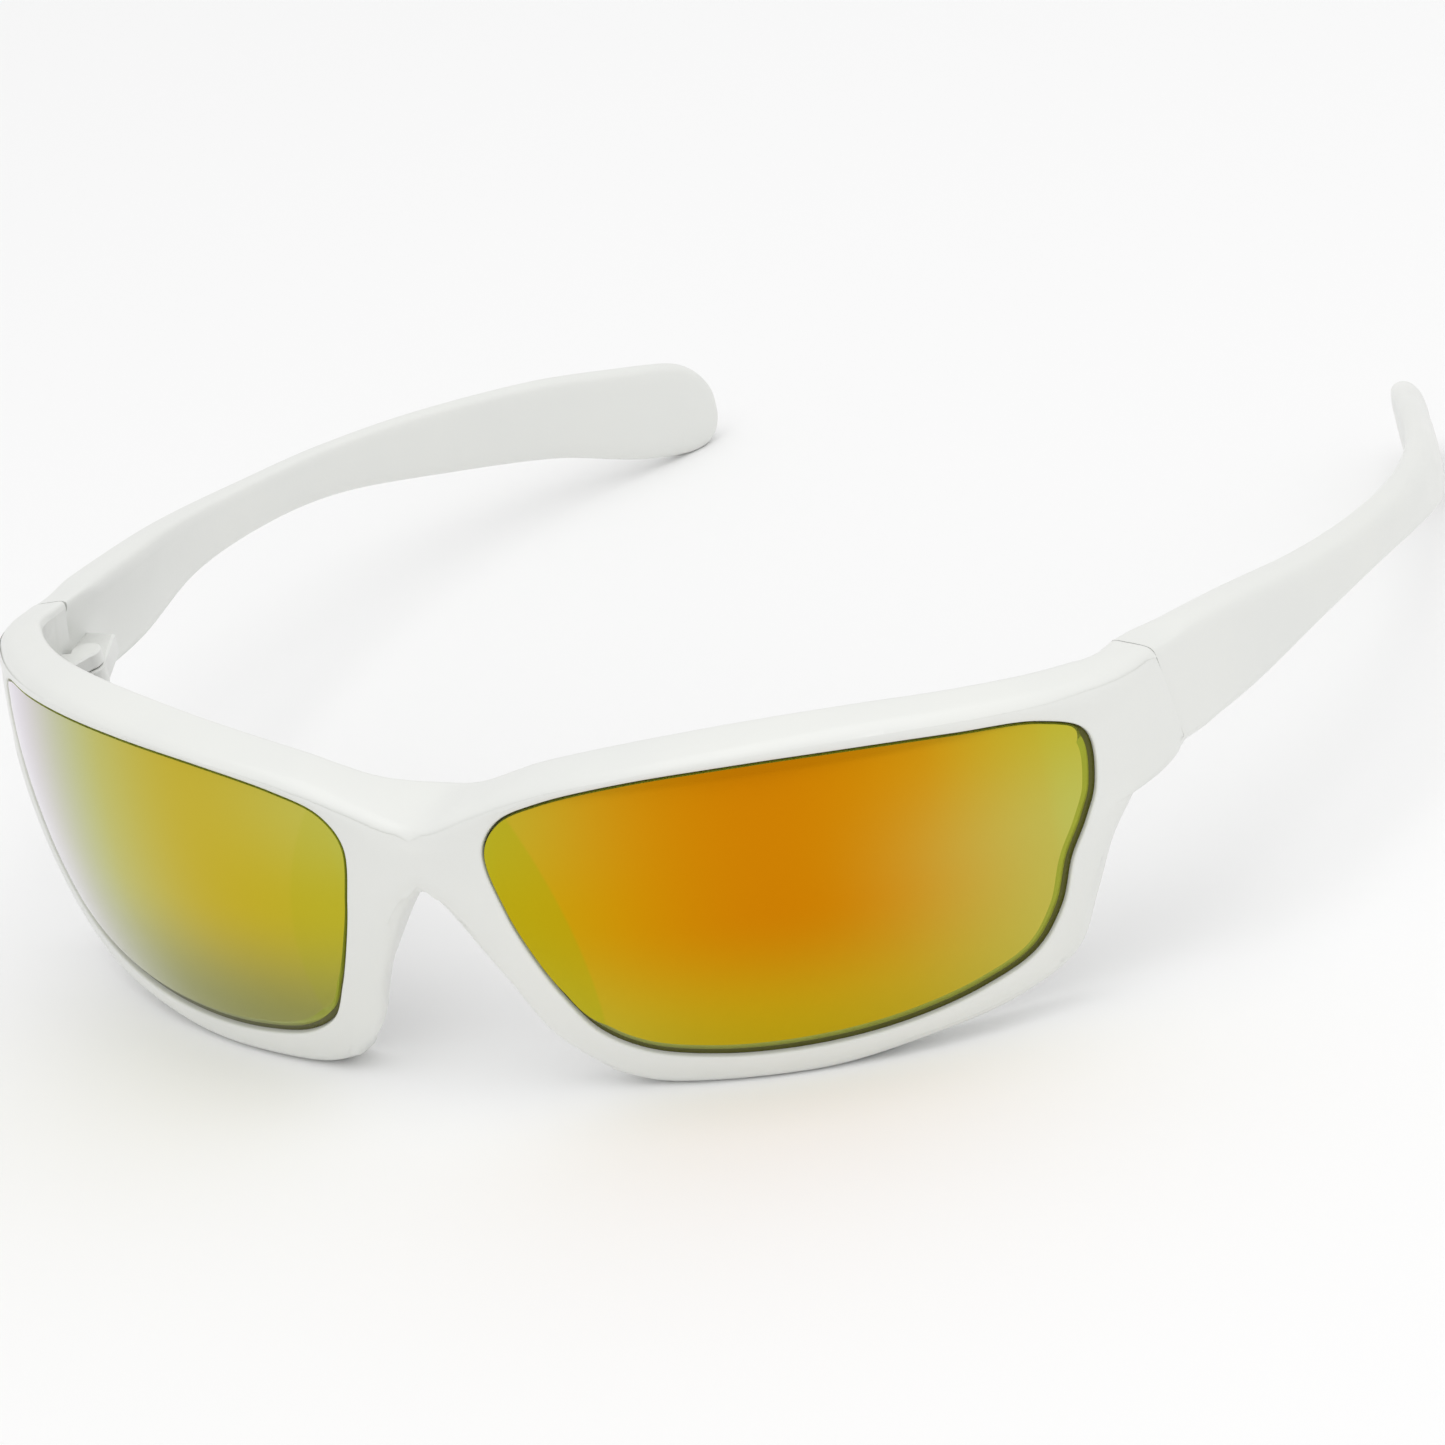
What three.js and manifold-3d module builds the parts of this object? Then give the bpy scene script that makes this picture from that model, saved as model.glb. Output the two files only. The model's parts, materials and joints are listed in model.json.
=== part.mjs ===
// Wraparound sport sunglasses: a one-piece moulded front, two base-8 lenses and two folding temples.
// Millimetres, +Z up. The front faces -Y, the temples run towards +Y, and +X is the wearer's left.
// The open glasses stand on the plane z = 0, on the lower rims and on the temple tips.
import * as THREE from "three";
import { mergeVertices } from "three/addons/utils/BufferGeometryUtils.js";
import Module from "manifold-3d";

const wasm = await Module();
wasm.setup();

// ---- Front surface: a flat bridge, then a sphere over each eye, then a tight corner to the hinge.
const WRAP_RADIUS = 68.5; // base-8 sphere that the front face follows
const WRAP_CENTRE_Z = 20.6; // height of the sphere's equator
const BRIDGE_HALF = 11.9; // half width of the flat bridge, from the mid-plane to the sphere's pole
const CORNER_START = 65; // distance along the wrap at which the corner leaves the sphere
const CORNER_RADIUS = 12; // outer radius of the corner in plan
const END_STRAIGHT = 3; // straight length of an end piece behind the corner

// ---- Lens and its seat, as depths behind the front face.
const LIP_DEPTH = 1.4; // thickness of the lip in front of the lens
const LENS_SET_BACK = 0.15; // from the front face to the lens's raised middle
const LENS_THICKNESS = 2.1;
const LENS_FLANGE = 0.8; // how far the lens reaches under the lip
const LENS_BEVEL = 1.35; // from the opening's edge in to the raised middle
const LENS_SHOULDER = 0.55; // from the opening's edge in to the foot of the bevel
const BEVEL_DROP = 0.35; // how much deeper the foot of the bevel lies than the raised middle
const SEAT_GAP = 0.2; // play between the lens and its groove
const REAR_LIP = 0.65; // thickness of the lip behind the lens
const REAR_OPENING = 0.3; // how much larger the opening is behind than in front

// ---- Moulded front.
const FACE_CROWN = 0.35; // bulge of the front face between its edges
const WALL_CROWN = 0.4; // bulge of the top and bottom faces
const CROWN_RUN_OUT = 3; // length over which that bulge runs out towards the hinge
const REAR_EDGE = 2.2; // width of the flat rear edge
const BROW_RISE = 0.8; // how much higher the brow's rear edge is than its front crease
const NOSE_FLARE = 3.1; // how far the nose flanges spread behind the front face

// ---- Temples.
const TEMPLE_GAP = 0.2; // between the end piece and the temple when open
const INNER_RECESS = 2; // depth of the hollow on the temple's inner face near the hinge
const RECESS_LENGTH = 36; // from the hinge line to where that hollow runs out
const SQUARE_LENGTH = 8; // over it, sections turn square to the temple's curve and grow rounder
const LEAN_LENGTH = 30; // how far behind the root the outer face stops leaning in
const TIP_ROUND = 5; // length of the rounded end of a temple
const TIP_POWER = 2.4; // bluntness of that end, where 2 is an ellipse

// ---- Hinge: two lugs on the front and one tongue on the temple. A screw goes up through the lower lug
// and the tongue into a nut, which is held in a pocket under the upper lug.
const KNUCKLE_RADIUS = 1.7;
const KNUCKLE_GAP = 0.3; // from a knuckle to the wall beside it
const AXIS_SET_FORWARD = 0.65; // from the hinge line forward to the screw's axis
const LUG_HEIGHT = 1.8;
const TONGUE_HEIGHT = 2.4;
const LUG_PLAY = 0.15; // between the tongue and each lug
const HINGE_Z = 25.4; // middle of the tongue
const WEB_LENGTH = 7; // from the axis to the end of a knuckle's web
const WEB_ROOT = 2.6; // how deep a web is rooted in its wall
const SCREW_RADIUS = 0.75;
const SCREW_CLEARANCE = 0.05; // radial, in every knuckle and in the nut
const SCREW_HEAD_RADIUS = 1.3;
const SCREW_HEAD_HEIGHT = 0.7;
const SLOT_WIDTH = 0.4;
const SLOT_DEPTH = 0.35;
const NUT_ACROSS_FLATS = 2.4;
const NUT_HEIGHT = 0.9;
const NUT_GAP = 0.08; // around the nut in its pocket
const SCREW_END_GAP = 0.3; // above the screw's end, in the upper lug

// ---- Fineness of the faceted surfaces.
const ROUND_STEPS = 24;
const OPENING_RINGS = [0.16, 0.45, 0.75]; // lens rings, as shares of the way from its middle to its edge
const FACE_ROWS = [0, 0.25, 0.5, 0.75, 1]; // rows of the front face, from the opening to the outer edge
const TEMPLE_STEP = 3.4; // spacing of the temple's sections
const TIP_SHARES = [0.3, 0.55, 0.75, 0.9, 0.98]; // sections in a temple's rounded end, as shares of it

const DEGREE = Math.PI / 180;
const lensRearDepth = LENS_SET_BACK + LENS_THICKNESS;
const grooveDepth = lensRearDepth + SEAT_GAP;
const rimDepth = grooveDepth + REAR_LIP;

// Plan of the front's outer face at distance u along the wrap from the sphere's pole.
const cornerAngle = CORNER_START / WRAP_RADIUS;
const cornerCentre = {
  x: BRIDGE_HALF + (WRAP_RADIUS - CORNER_RADIUS) * Math.sin(cornerAngle),
  y: WRAP_RADIUS - (WRAP_RADIUS - CORNER_RADIUS) * Math.cos(cornerAngle),
};
const cornerEnd = CORNER_START + (90 * DEGREE - cornerAngle) * CORNER_RADIUS;
const hingeLine = cornerEnd + END_STRAIGHT;
const hingeLineY = cornerCentre.y + END_STRAIGHT;
const templeOuterX = cornerCentre.x + CORNER_RADIUS;

function planPoint(u) {
  if (u < 0) return { x: BRIDGE_HALF + u, y: 0, angle: 0 };
  if (u < CORNER_START) {
    const angle = u / WRAP_RADIUS;
    const x = BRIDGE_HALF + WRAP_RADIUS * Math.sin(angle);
    return { x, y: WRAP_RADIUS * (1 - Math.cos(angle)), angle };
  }
  if (u < cornerEnd) {
    const angle = cornerAngle + (u - CORNER_START) / CORNER_RADIUS;
    const x = cornerCentre.x + CORNER_RADIUS * Math.sin(angle);
    return { x, y: cornerCentre.y - CORNER_RADIUS * Math.cos(angle), angle };
  }
  return { x: templeOuterX, y: cornerCentre.y + u - cornerEnd, angle: 90 * DEGREE };
}

// How far the front face has fallen back from its equator at height z.
function sag(z) {
  return WRAP_RADIUS - Math.sqrt(WRAP_RADIUS ** 2 - (z - WRAP_CENTRE_Z) ** 2);
}

// A point of the front face at (u, z), moved level towards the head by back, and up by lift.
function place(u, z, back = 0, lift = 0) {
  const { x, y, angle } = planPoint(u);
  const inward = sag(z) + back;
  return new THREE.Vector3(x - inward * Math.sin(angle), y + inward * Math.cos(angle), z + lift);
}

// A point straight behind (u, z) on the sphere that lies depth inside the front face.
function shell(u, z, depth) {
  const tilt = Math.asin((z - WRAP_CENTRE_Z) / WRAP_RADIUS);
  return place(u, z, depth * Math.cos(tilt), -depth * Math.sin(tilt));
}

// ---- Outlines, in (distance along the wrap, height).
// Lens opening, clockwise from its upper nasal corner. The named corners tie it to the outer outline.
const OPENING = [
  [-3.5, 28.7], // 0: upper nasal corner
  [-1.2, 32.1],
  [4.2, 34.3],
  [14.5, 36.1],
  [26.9, 36.6],
  [38.6, 36],
  [49.6, 34.6],
  [58.5, 32.8],
  [63, 30], // 8: upper temporal corner
  [62.5, 24.3],
  [60.6, 20.8], // 10: step
  [58.2, 17.3],
  [56.1, 12.4],
  [52.5, 8.1],
  [46, 5.5],
  [36.8, 3.7],
  [26.8, 3],
  [16.6, 3.3],
  [8.8, 4.6],
  [4.3, 7.2], // 19: lower nasal corner
  [1.5, 11.7],
  [-0.6, 16.5],
  [-2.4, 22], // 22: under the bridge
];
// Outer edge of the front, in the same sense, as [along, height, depth of the wall behind it].
// Each stretch faces the opening from one of its points to another, point for point.
const BRIDGE_TOP = [-BRIDGE_HALF, 30.8, 9.2];
const BRIDGE_UNDERSIDE = [-BRIDGE_HALF, 23.7, 8.2];
const HINGE_TOP = [hingeLine, 33.4, 4.8];
const HINGE_BOTTOM = [hingeLine, 22, 4.4];
const NOTCH = [67, 22.1, 4.2];
const CHIN = [4, 1.6, 4.4];
const BROW = [
  BRIDGE_TOP,
  [-5.8, 32.5, 6.7],
  [2, 35.3, 5.4],
  [14, 37.3, 4.9],
  [27, 38.1, 4.8],
  [39.5, 37.8, 4.5],
  [51.5, 36.4, 4.5],
  [61.5, 35, 4.6],
  HINGE_TOP,
];
const END_FACE = [HINGE_TOP, HINGE_BOTTOM];
const END_PIECE_UNDERSIDE = [HINGE_BOTTOM, NOTCH];
const LOWER_RIM = [
  NOTCH,
  [63.2, 18, 4.3],
  [60.2, 12.5, 4.4],
  [56.8, 6.4, 4.4],
  [49.5, 3.1, 4.4],
  [38.5, 1.2, 4.4],
  [27.4, -0.2, 4.4],
  [16, -0.2, 4.4],
  [8.5, 0.2, 4.4],
  CHIN,
];
const NOSE_EDGE = [
  CHIN,
  [-1.4, 6.4, 5.6],
  [-5.2, 14.5, 7.8],
  BRIDGE_UNDERSIDE,
];
const BRIDGE_MIDDLE = [BRIDGE_UNDERSIDE, BRIDGE_TOP];
const STRETCHES = [
  { edge: BROW, from: 0, to: 8, steps: 30, walled: true },
  { edge: END_FACE, from: 8, to: 9, steps: 6, walled: true },
  { edge: END_PIECE_UNDERSIDE, from: 9, to: 10, steps: 4, walled: true },
  { edge: LOWER_RIM, from: 10, to: 19, steps: 27, walled: true },
  { edge: NOSE_EDGE, from: 19, to: 22, steps: 10, walled: true },
  { edge: BRIDGE_MIDDLE, from: 22, to: OPENING.length, steps: 4, walled: false },
];

const openingCurve = new THREE.CatmullRomCurve3(
  OPENING.map(([u, z]) => new THREE.Vector3(u, z, 0)),
  true,
);

const bridgeMiddleZ = (BRIDGE_TOP[1] + BRIDGE_UNDERSIDE[1]) / 2;
const isOnMidPlane = (u) => u < -BRIDGE_HALF + 1e-6;

// The curve through a stretch's points, and the share of it that the stretch itself takes up. An end on
// the mid-plane carries on into the mirror image, so the two halves meet without a kink.
function edgeCurveOf(edge) {
  const points = edge.map((p) => new THREE.Vector3(...p));
  const reflect = (p) => new THREE.Vector3(-2 * BRIDGE_HALF - p.x, p.y, p.z);
  const leads = edge.length > 2 && isOnMidPlane(points[0].x);
  const trails = edge.length > 2 && isOnMidPlane(points[points.length - 1].x);
  const before = leads ? [reflect(points[1])] : [];
  const after = trails ? [reflect(points[points.length - 2])] : [];
  const all = [...before, ...points, ...after];
  const spans = all.length - 1;
  return {
    curve: new THREE.CatmullRomCurve3(all),
    start: before.length / spans,
    share: (points.length - 1) / spans,
  };
}

// One station per step round the lens: its point on the opening, its point on the outer edge, and the
// outward directions there. A station is walled where the outer edge is a free surface. Its fullness is
// how far the bulge of the face carries on over the mid-plane.
function makeStations() {
  const list = [];
  for (const { edge, from, to, steps, walled } of STRETCHES) {
    const { curve, start, share } = edgeCurveOf(edge);
    for (let i = 0; i < steps; i += 1) {
      const done = i / steps;
      const t = (from + (to - from) * done) / OPENING.length;
      const tangent = openingCurve.getTangent(t);
      const outer = curve.getPoint(start + share * done);
      const along = curve.getTangent(start + share * done);
      const edgeNormal = new THREE.Vector2(-along.y, along.x).normalize();
      if (isOnMidPlane(outer.x)) edgeNormal.set(0, Math.sign(outer.y - bridgeMiddleZ));
      list.push({
        opening: openingCurve.getPoint(t),
        normal: new THREE.Vector2(-tangent.y, tangent.x).normalize(),
        outer,
        edgeNormal,
        crown: WALL_CROWN * Math.min(1, (hingeLine - outer.x) / CROWN_RUN_OUT),
        fullness: walled ? 0 : Math.sin(Math.PI * done),
        flare: edge === NOSE_EDGE ? NOSE_FLARE * Math.sin(Math.PI * done) : 0,
        walled,
      });
    }
  }
  return list;
}
const stations = makeStations();

// The opening's outline moved outward by offset, in (u, z).
function openingAt(station, offset) {
  return new THREE.Vector2(
    station.opening.x + station.normal.x * offset,
    station.opening.y + station.normal.y * offset,
  );
}

// ---- Meshes from rows of points.
// Joins stations into a closed band: rows run along a section, stations run round the lens. Each
// four-sided patch is split along its shorter diagonal.
function bandFaces(sections, keep = () => true) {
  const positions = [];
  const count = sections.length;
  for (let s = 0; s < count; s += 1) {
    const here = sections[s];
    const next = sections[(s + 1) % count];
    for (let r = 0; r < here.length; r += 1) {
      if (!keep(s, r)) continue;
      const q = (r + 1) % here.length;
      const [a, b, c, d] = [here[r], next[r], next[q], here[q]];
      const short = a.distanceTo(c) < b.distanceTo(d);
      positions.push(...(short ? [a, b, c, a, c, d] : [a, b, d, b, c, d]));
    }
  }
  return positions;
}

// Closes the first or last ring of a set of rows with a fan round a middle point.
function fan(ring, middle, reverse) {
  const positions = [];
  ring.forEach((point, i) => {
    const next = ring[(i + 1) % ring.length];
    positions.push(...(reverse ? [middle, point, next] : [middle, next, point]));
  });
  return positions;
}

function geometryOf(points) {
  const geometry = new THREE.BufferGeometry().setFromPoints(points);
  return mergeVertices(geometry, 1e-4);
}

// The same triangles on the other side of the mid-plane.
function mirrored(points) {
  const flipped = points.map((p) => new THREE.Vector3(-p.x, p.y, p.z));
  for (let i = 0; i < flipped.length; i += 3) {
    [flipped[i + 1], flipped[i + 2]] = [flipped[i + 2], flipped[i + 1]];
  }
  return flipped;
}

function solidOf(geometry) {
  const bare = geometry.clone();
  bare.deleteAttribute("normal");
  bare.deleteAttribute("uv");
  const merged = mergeVertices(bare, 1e-4);
  const mesh = new wasm.Mesh({
    numProp: 3,
    vertProperties: merged.attributes.position.array,
    triVerts: new Uint32Array(merged.index.array),
  });
  return new wasm.Manifold(mesh);
}

function geometryFromSolid(solid) {
  const mesh = solid.getMesh();
  const geometry = new THREE.BufferGeometry();
  geometry.setAttribute("position", new THREE.BufferAttribute(mesh.vertProperties, 3));
  geometry.setIndex(new THREE.BufferAttribute(mesh.triVerts, 1));
  return geometry;
}

// ---- Front.
// Section of the moulded front at one station, from the opening's front edge round to its groove.
function frontSection(station) {
  const { opening, outer, edgeNormal, crown, flare, fullness } = station;
  const depth = outer.z;
  const rise = BROW_RISE * THREE.MathUtils.smoothstep(outer.y, 24, 30);
  const onFace = (share) => {
    const u = THREE.MathUtils.lerp(opening.x, outer.x, share);
    const z = THREE.MathUtils.lerp(opening.y, outer.y, share);
    const bulge = Math.sin((Math.PI * share) / (1 + fullness));
    return place(u, z, -FACE_CROWN * bulge);
  };
  const wall = place(
    outer.x + edgeNormal.x * crown + flare / 2,
    outer.y + edgeNormal.y * crown,
    depth / 2,
    rise / 2,
  );
  const rear = openingAt(station, REAR_OPENING);
  const span = Math.hypot(outer.x - rear.x, outer.y - rear.y);
  const inShare = Math.min(REAR_EDGE / span, 0.6);
  const inner = (share, back) =>
    place(
      THREE.MathUtils.lerp(outer.x + flare, rear.x, share),
      THREE.MathUtils.lerp(outer.y, rear.y, share),
      back,
      rise * (1 - share),
    );
  const groove = openingAt(station, LENS_FLANGE + SEAT_GAP);
  return [
    ...FACE_ROWS.map(onFace),
    wall,
    inner(0, depth),
    inner(inShare, depth),
    inner((1 + inShare) / 2, (depth + rimDepth) / 2),
    shell(rear.x, rear.y, rimDepth),
    shell(rear.x, rear.y, grooveDepth),
    shell(groove.x, groove.y, grooveDepth),
    shell(groove.x, groove.y, LIP_DEPTH),
    shell(opening.x, opening.y, LIP_DEPTH),
  ];
}
const OUTER_ROW = FACE_ROWS.length - 1; // row of the section that lies on the outer front edge
const WALL_ROWS = 2; // rows from there to the outer rear edge

function frontShell() {
  const sections = stations.map(frontSection);
  const points = bandFaces(sections, (s, r) => {
    const onWall = r >= OUTER_ROW && r < OUTER_ROW + WALL_ROWS;
    return !onWall || stations[s].walled;
  });
  return geometryOf([...points, ...mirrored(points)]);
}

// ---- Hinge.
const lugMiddle = TONGUE_HEIGHT / 2 + LUG_PLAY + LUG_HEIGHT / 2;
const lugTop = lugMiddle + LUG_HEIGHT / 2;
const innerWallX = templeOuterX - sag(HINGE_Z + lugTop) - HINGE_TOP[2];
const axis = {
  x: innerWallX - KNUCKLE_GAP - KNUCKLE_RADIUS,
  y: hingeLineY - AXIS_SET_FORWARD,
};

// Plan of a knuckle round the axis, with a web rooted in the wall at +x. The web runs to side * y.
function knuckleShape(side) {
  const wall = KNUCKLE_RADIUS + KNUCKLE_GAP;
  const shape = new THREE.Shape();
  const start = 135 * DEGREE;
  const end = 38 * DEGREE;
  shape.moveTo(wall - 1, side * WEB_LENGTH);
  shape.lineTo(wall + WEB_ROOT, side * WEB_LENGTH);
  shape.lineTo(wall + WEB_ROOT, side * (AXIS_SET_FORWARD + TEMPLE_GAP + 0.4));
  shape.absarc(0, 0, KNUCKLE_RADIUS, side * end, side * start, side > 0);
  shape.closePath();
  return shape;
}

function knuckle(side, middleZ, height) {
  const geometry = new THREE.ExtrudeGeometry(knuckleShape(side), {
    depth: height,
    bevelEnabled: false,
    curveSegments: ROUND_STEPS,
  });
  geometry.translate(axis.x, axis.y, HINGE_Z + middleZ - height / 2);
  return solidOf(geometry);
}

// A cylinder on the hinge's axis between two heights above the middle of the tongue.
function onAxis(radius, low, high, sides = ROUND_STEPS) {
  const geometry = new THREE.CylinderGeometry(radius, radius, high - low, sides);
  geometry.rotateX(90 * DEGREE);
  geometry.translate(axis.x, axis.y, HINGE_Z + (low + high) / 2);
  return solidOf(geometry);
}

function mirrorGeometry(geometry) {
  const copy = geometry.clone();
  copy.scale(-1, 1, 1);
  const index = copy.index.array;
  for (let i = 0; i < index.length; i += 3) {
    [index[i + 1], index[i + 2]] = [index[i + 2], index[i + 1]];
  }
  return copy;
}

const upperLugBottom = TONGUE_HEIGHT / 2 + LUG_PLAY;
const nutTop = upperLugBottom + NUT_HEIGHT;
const screwEnd = nutTop + NUT_GAP + SCREW_CLEARANCE;
const screwBore = onAxis(SCREW_RADIUS + SCREW_CLEARANCE, -lugTop - 1, screwEnd + SCREW_END_GAP);
const nutCornerRadius = NUT_ACROSS_FLATS / 2 / Math.cos(30 * DEGREE);
const nutPocket = onAxis(nutCornerRadius + NUT_GAP, upperLugBottom - LUG_PLAY, nutTop + NUT_GAP, 6);

function groundCut() {
  const geometry = new THREE.BoxGeometry(400, 400, 20);
  geometry.translate(0, 0, -10);
  return solidOf(geometry);
}

function frontFrame() {
  let solid = solidOf(frontShell());
  let lugs = knuckle(-1, lugMiddle, LUG_HEIGHT).add(knuckle(-1, -lugMiddle, LUG_HEIGHT));
  lugs = lugs.subtract(screwBore).subtract(nutPocket);
  const otherLugs = solidOf(mirrorGeometry(geometryFromSolid(lugs)));
  solid = solid.add(lugs).add(otherLugs).subtract(groundCut());
  return geometryFromSolid(solid);
}

// ---- Lenses.
const lensMiddle = openingCurve
  .getPoints(60)
  .reduce((sum, p) => sum.add(p), new THREE.Vector3())
  .divideScalar(61);

function lensRing(offset, depth, share) {
  return stations.map((station) => {
    const edge = openingAt(station, offset);
    const u = THREE.MathUtils.lerp(lensMiddle.x, edge.x, share);
    const z = THREE.MathUtils.lerp(lensMiddle.y, edge.y, share);
    return shell(u, z, depth);
  });
}

function lensGeometry() {
  const flangeDepth = LIP_DEPTH + SEAT_GAP;
  const front = OPENING_RINGS.map((share) => lensRing(-LENS_BEVEL, LENS_SET_BACK, share));
  const rear = OPENING_RINGS.map((share) => lensRing(LENS_FLANGE, lensRearDepth, share));
  const rows = [
    ...front,
    lensRing(-LENS_BEVEL, LENS_SET_BACK, 1),
    lensRing(-LENS_SHOULDER, LENS_SET_BACK + BEVEL_DROP, 1),
    lensRing(-SEAT_GAP, flangeDepth, 1),
    lensRing(LENS_FLANGE, flangeDepth, 1),
    lensRing(LENS_FLANGE, lensRearDepth, 1),
    ...rear.reverse(),
  ];
  const sections = stations.map((_, i) => rows.map((row) => row[i]));
  const lastRow = rows.length - 1;
  const sides = bandFaces(sections, (s, r) => r !== lastRow);
  const frontMiddle = shell(lensMiddle.x, lensMiddle.y, LENS_SET_BACK);
  const rearMiddle = shell(lensMiddle.x, lensMiddle.y, lensRearDepth);
  const caps = [...fan(rows[0], frontMiddle, false), ...fan(rows[lastRow], rearMiddle, true)];
  return geometryOf([...sides, ...caps]);
}

// ---- Temples.
// Stations of the left temple: distance behind its root, how far its outer face lies outside the root's,
// heights of its top, crease and bottom, and thickness. The root matches the end piece in front of it.
const templeStart = hingeLineY + TEMPLE_GAP;
const TEMPLE = [
  {
    back: 0,
    out: 0,
    top: HINGE_TOP[1] + BROW_RISE,
    crease: HINGE_TOP[1],
    bottom: HINGE_BOTTOM[1],
    thick: HINGE_TOP[2],
  },
  { back: 15, out: 1, top: 31.2, crease: 29.6, bottom: 20.2, thick: 4.6 },
  { back: 30, out: 2.2, top: 27.7, crease: 25.9, bottom: 20.1, thick: 4 },
  { back: 44, out: 1.4, top: 24.5, crease: 22.9, bottom: 18.4, thick: 3.5 },
  { back: 57, out: -0.7, top: 21.9, crease: 19.9, bottom: 15.5, thick: 3.3 },
  { back: 70, out: -5.4, top: 19.3, crease: 16.8, bottom: 11, thick: 3.3 },
  { back: 83, out: -12.9, top: 16.4, crease: 12.5, bottom: 6.2, thick: 3.5 },
  { back: 92, out: -18.8, top: 13.3, crease: 9, bottom: 1.3, thick: 3.5 },
  { back: 100.5, out: -23.3, top: 9.7, crease: 5.6, bottom: -1.6, thick: 3.6 },
];
const templeLength = TEMPLE[TEMPLE.length - 1].back;

// Smooth value of one measure of the temple, through the stations on each side of it.
function templeMeasure(name, back) {
  const last = TEMPLE.length - 1;
  let i = 0;
  while (i < last - 1 && TEMPLE[i + 1].back < back) i += 1;
  const slope = (k) => {
    const a = TEMPLE[Math.max(k - 1, 0)];
    const b = TEMPLE[Math.min(k + 1, last)];
    return (b[name] - a[name]) / (b.back - a.back);
  };
  const span = TEMPLE[i + 1].back - TEMPLE[i].back;
  const t = (back - TEMPLE[i].back) / span;
  const rise = TEMPLE[i + 1][name] - TEMPLE[i][name];
  const bend = (1 - t) * (slope(i) * span - rise) - t * (slope(i + 1) * span - rise);
  return TEMPLE[i][name] + t * rise + t * (1 - t) * bend;
}

// Section of the temple, as points at a distance inward from the outer face and at a height. Close to
// the root it is square to the length, leans in like the end piece and is hollowed on its inner face.
function templeSection(back) {
  const past = Math.max(0, (back - templeLength + TIP_ROUND) / TIP_ROUND);
  const shrink = (1 - past ** TIP_POWER) ** (1 / TIP_POWER);
  const outer = templeOuterX + templeMeasure("out", back);
  const thick = templeMeasure("thick", back);
  const rawTop = templeMeasure("top", back);
  const rawBottom = templeMeasure("bottom", back);
  const middle = (rawTop + rawBottom) / 2;
  const top = middle + (rawTop - middle) * shrink;
  const bottom = middle + (rawBottom - middle) * shrink;
  const crease = middle + (templeMeasure("crease", back) - middle) * shrink;
  const height = top - bottom;
  const lean = 1 - THREE.MathUtils.smoothstep(back, 0, LEAN_LENGTH);
  const round = THREE.MathUtils.smoothstep(back, 0, SQUARE_LENGTH);
  const lowCut = THREE.MathUtils.lerp(0.16, 0.04, lean) * height * round;
  const hollow = INNER_RECESS * (1 - THREE.MathUtils.smoothstep(back, SQUARE_LENGTH, RECESS_LENGTH));
  const settle = Math.min(1, back / SQUARE_LENGTH);
  const slope = settle * (templeMeasure("out", back + 0.1) - templeMeasure("out", back)) * 10;
  const inward = new THREE.Vector2(-1, slope).normalize();
  const half = thick / 2;
  const squeeze = 0.35 + 0.65 * shrink;
  const at = (distance, z) => {
    const d = half + (distance - half) * squeeze;
    const x = outer - lean * sag(z) + inward.x * d;
    return new THREE.Vector3(x, templeStart + back + inward.y * d, z);
  };
  // On the top face. At the root it is flat from the crease to the inner edge, like the end piece.
  const onTop = (distance, share) => {
    const flat = distance / thick;
    return at(distance, THREE.MathUtils.lerp(crease, top, THREE.MathUtils.lerp(flat, share, round)));
  };
  return [
    at(0, crease),
    onTop(0.4, 0.6),
    onTop(1.3, 0.92),
    onTop(half + 0.6, 1),
    at(thick - 0.2, top - 0.04 * round * height),
    at(thick, top - THREE.MathUtils.lerp(0.02, 0.14, round) * height),
    at(thick - hollow * 0.6, top - 0.3 * height),
    at(thick - hollow, middle),
    at(thick - 0.2 - hollow * 0.6, bottom + 0.2 * height),
    at(thick - 0.2 - 0.5 * round, bottom + 0.04 * round * height),
    at(half, bottom),
    at(0.8, bottom + 0.2 * lowCut),
    at(0.2 * round, bottom + lowCut),
  ];
}

function templeStations() {
  const body = templeLength - TIP_ROUND;
  const steps = Math.round(body / TEMPLE_STEP);
  const along = Array.from({ length: steps + 1 }, (_, i) => (body * i) / steps);
  return [...along, ...TIP_SHARES.map((share) => body + TIP_ROUND * share)];
}

function templeSolid() {
  const sections = templeStations().map(templeSection);
  const last = sections.length - 1;
  const middleOf = (ring) =>
    ring.reduce((sum, p) => sum.add(p), new THREE.Vector3()).divideScalar(ring.length);
  const sides = bandFaces(sections, (s) => s !== last);
  const caps = [
    ...fan(sections[0], middleOf(sections[0]), true),
    ...fan(sections[last], middleOf(sections[last]), false),
  ];
  return solidOf(geometryOf([...sides, ...caps]));
}

function temple() {
  const tongue = knuckle(1, 0, TONGUE_HEIGHT).subtract(screwBore);
  return geometryFromSolid(templeSolid().add(tongue).subtract(groundCut()));
}

// ---- Hinge hardware.
function screw() {
  const underHead = -lugTop - LUG_PLAY;
  const headBottom = underHead - SCREW_HEAD_HEIGHT;
  const head = onAxis(SCREW_HEAD_RADIUS, headBottom, underHead);
  const shank = onAxis(SCREW_RADIUS, underHead - SCREW_HEAD_HEIGHT / 2, screwEnd);
  const slot = new THREE.BoxGeometry(SCREW_HEAD_RADIUS * 3, SLOT_WIDTH, SLOT_DEPTH * 2);
  slot.translate(axis.x, axis.y, HINGE_Z + headBottom);
  return geometryFromSolid(head.add(shank).subtract(solidOf(slot)));
}

function nut() {
  const body = onAxis(nutCornerRadius, upperLugBottom, nutTop, 6);
  return geometryFromSolid(body.subtract(screwBore));
}

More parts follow.
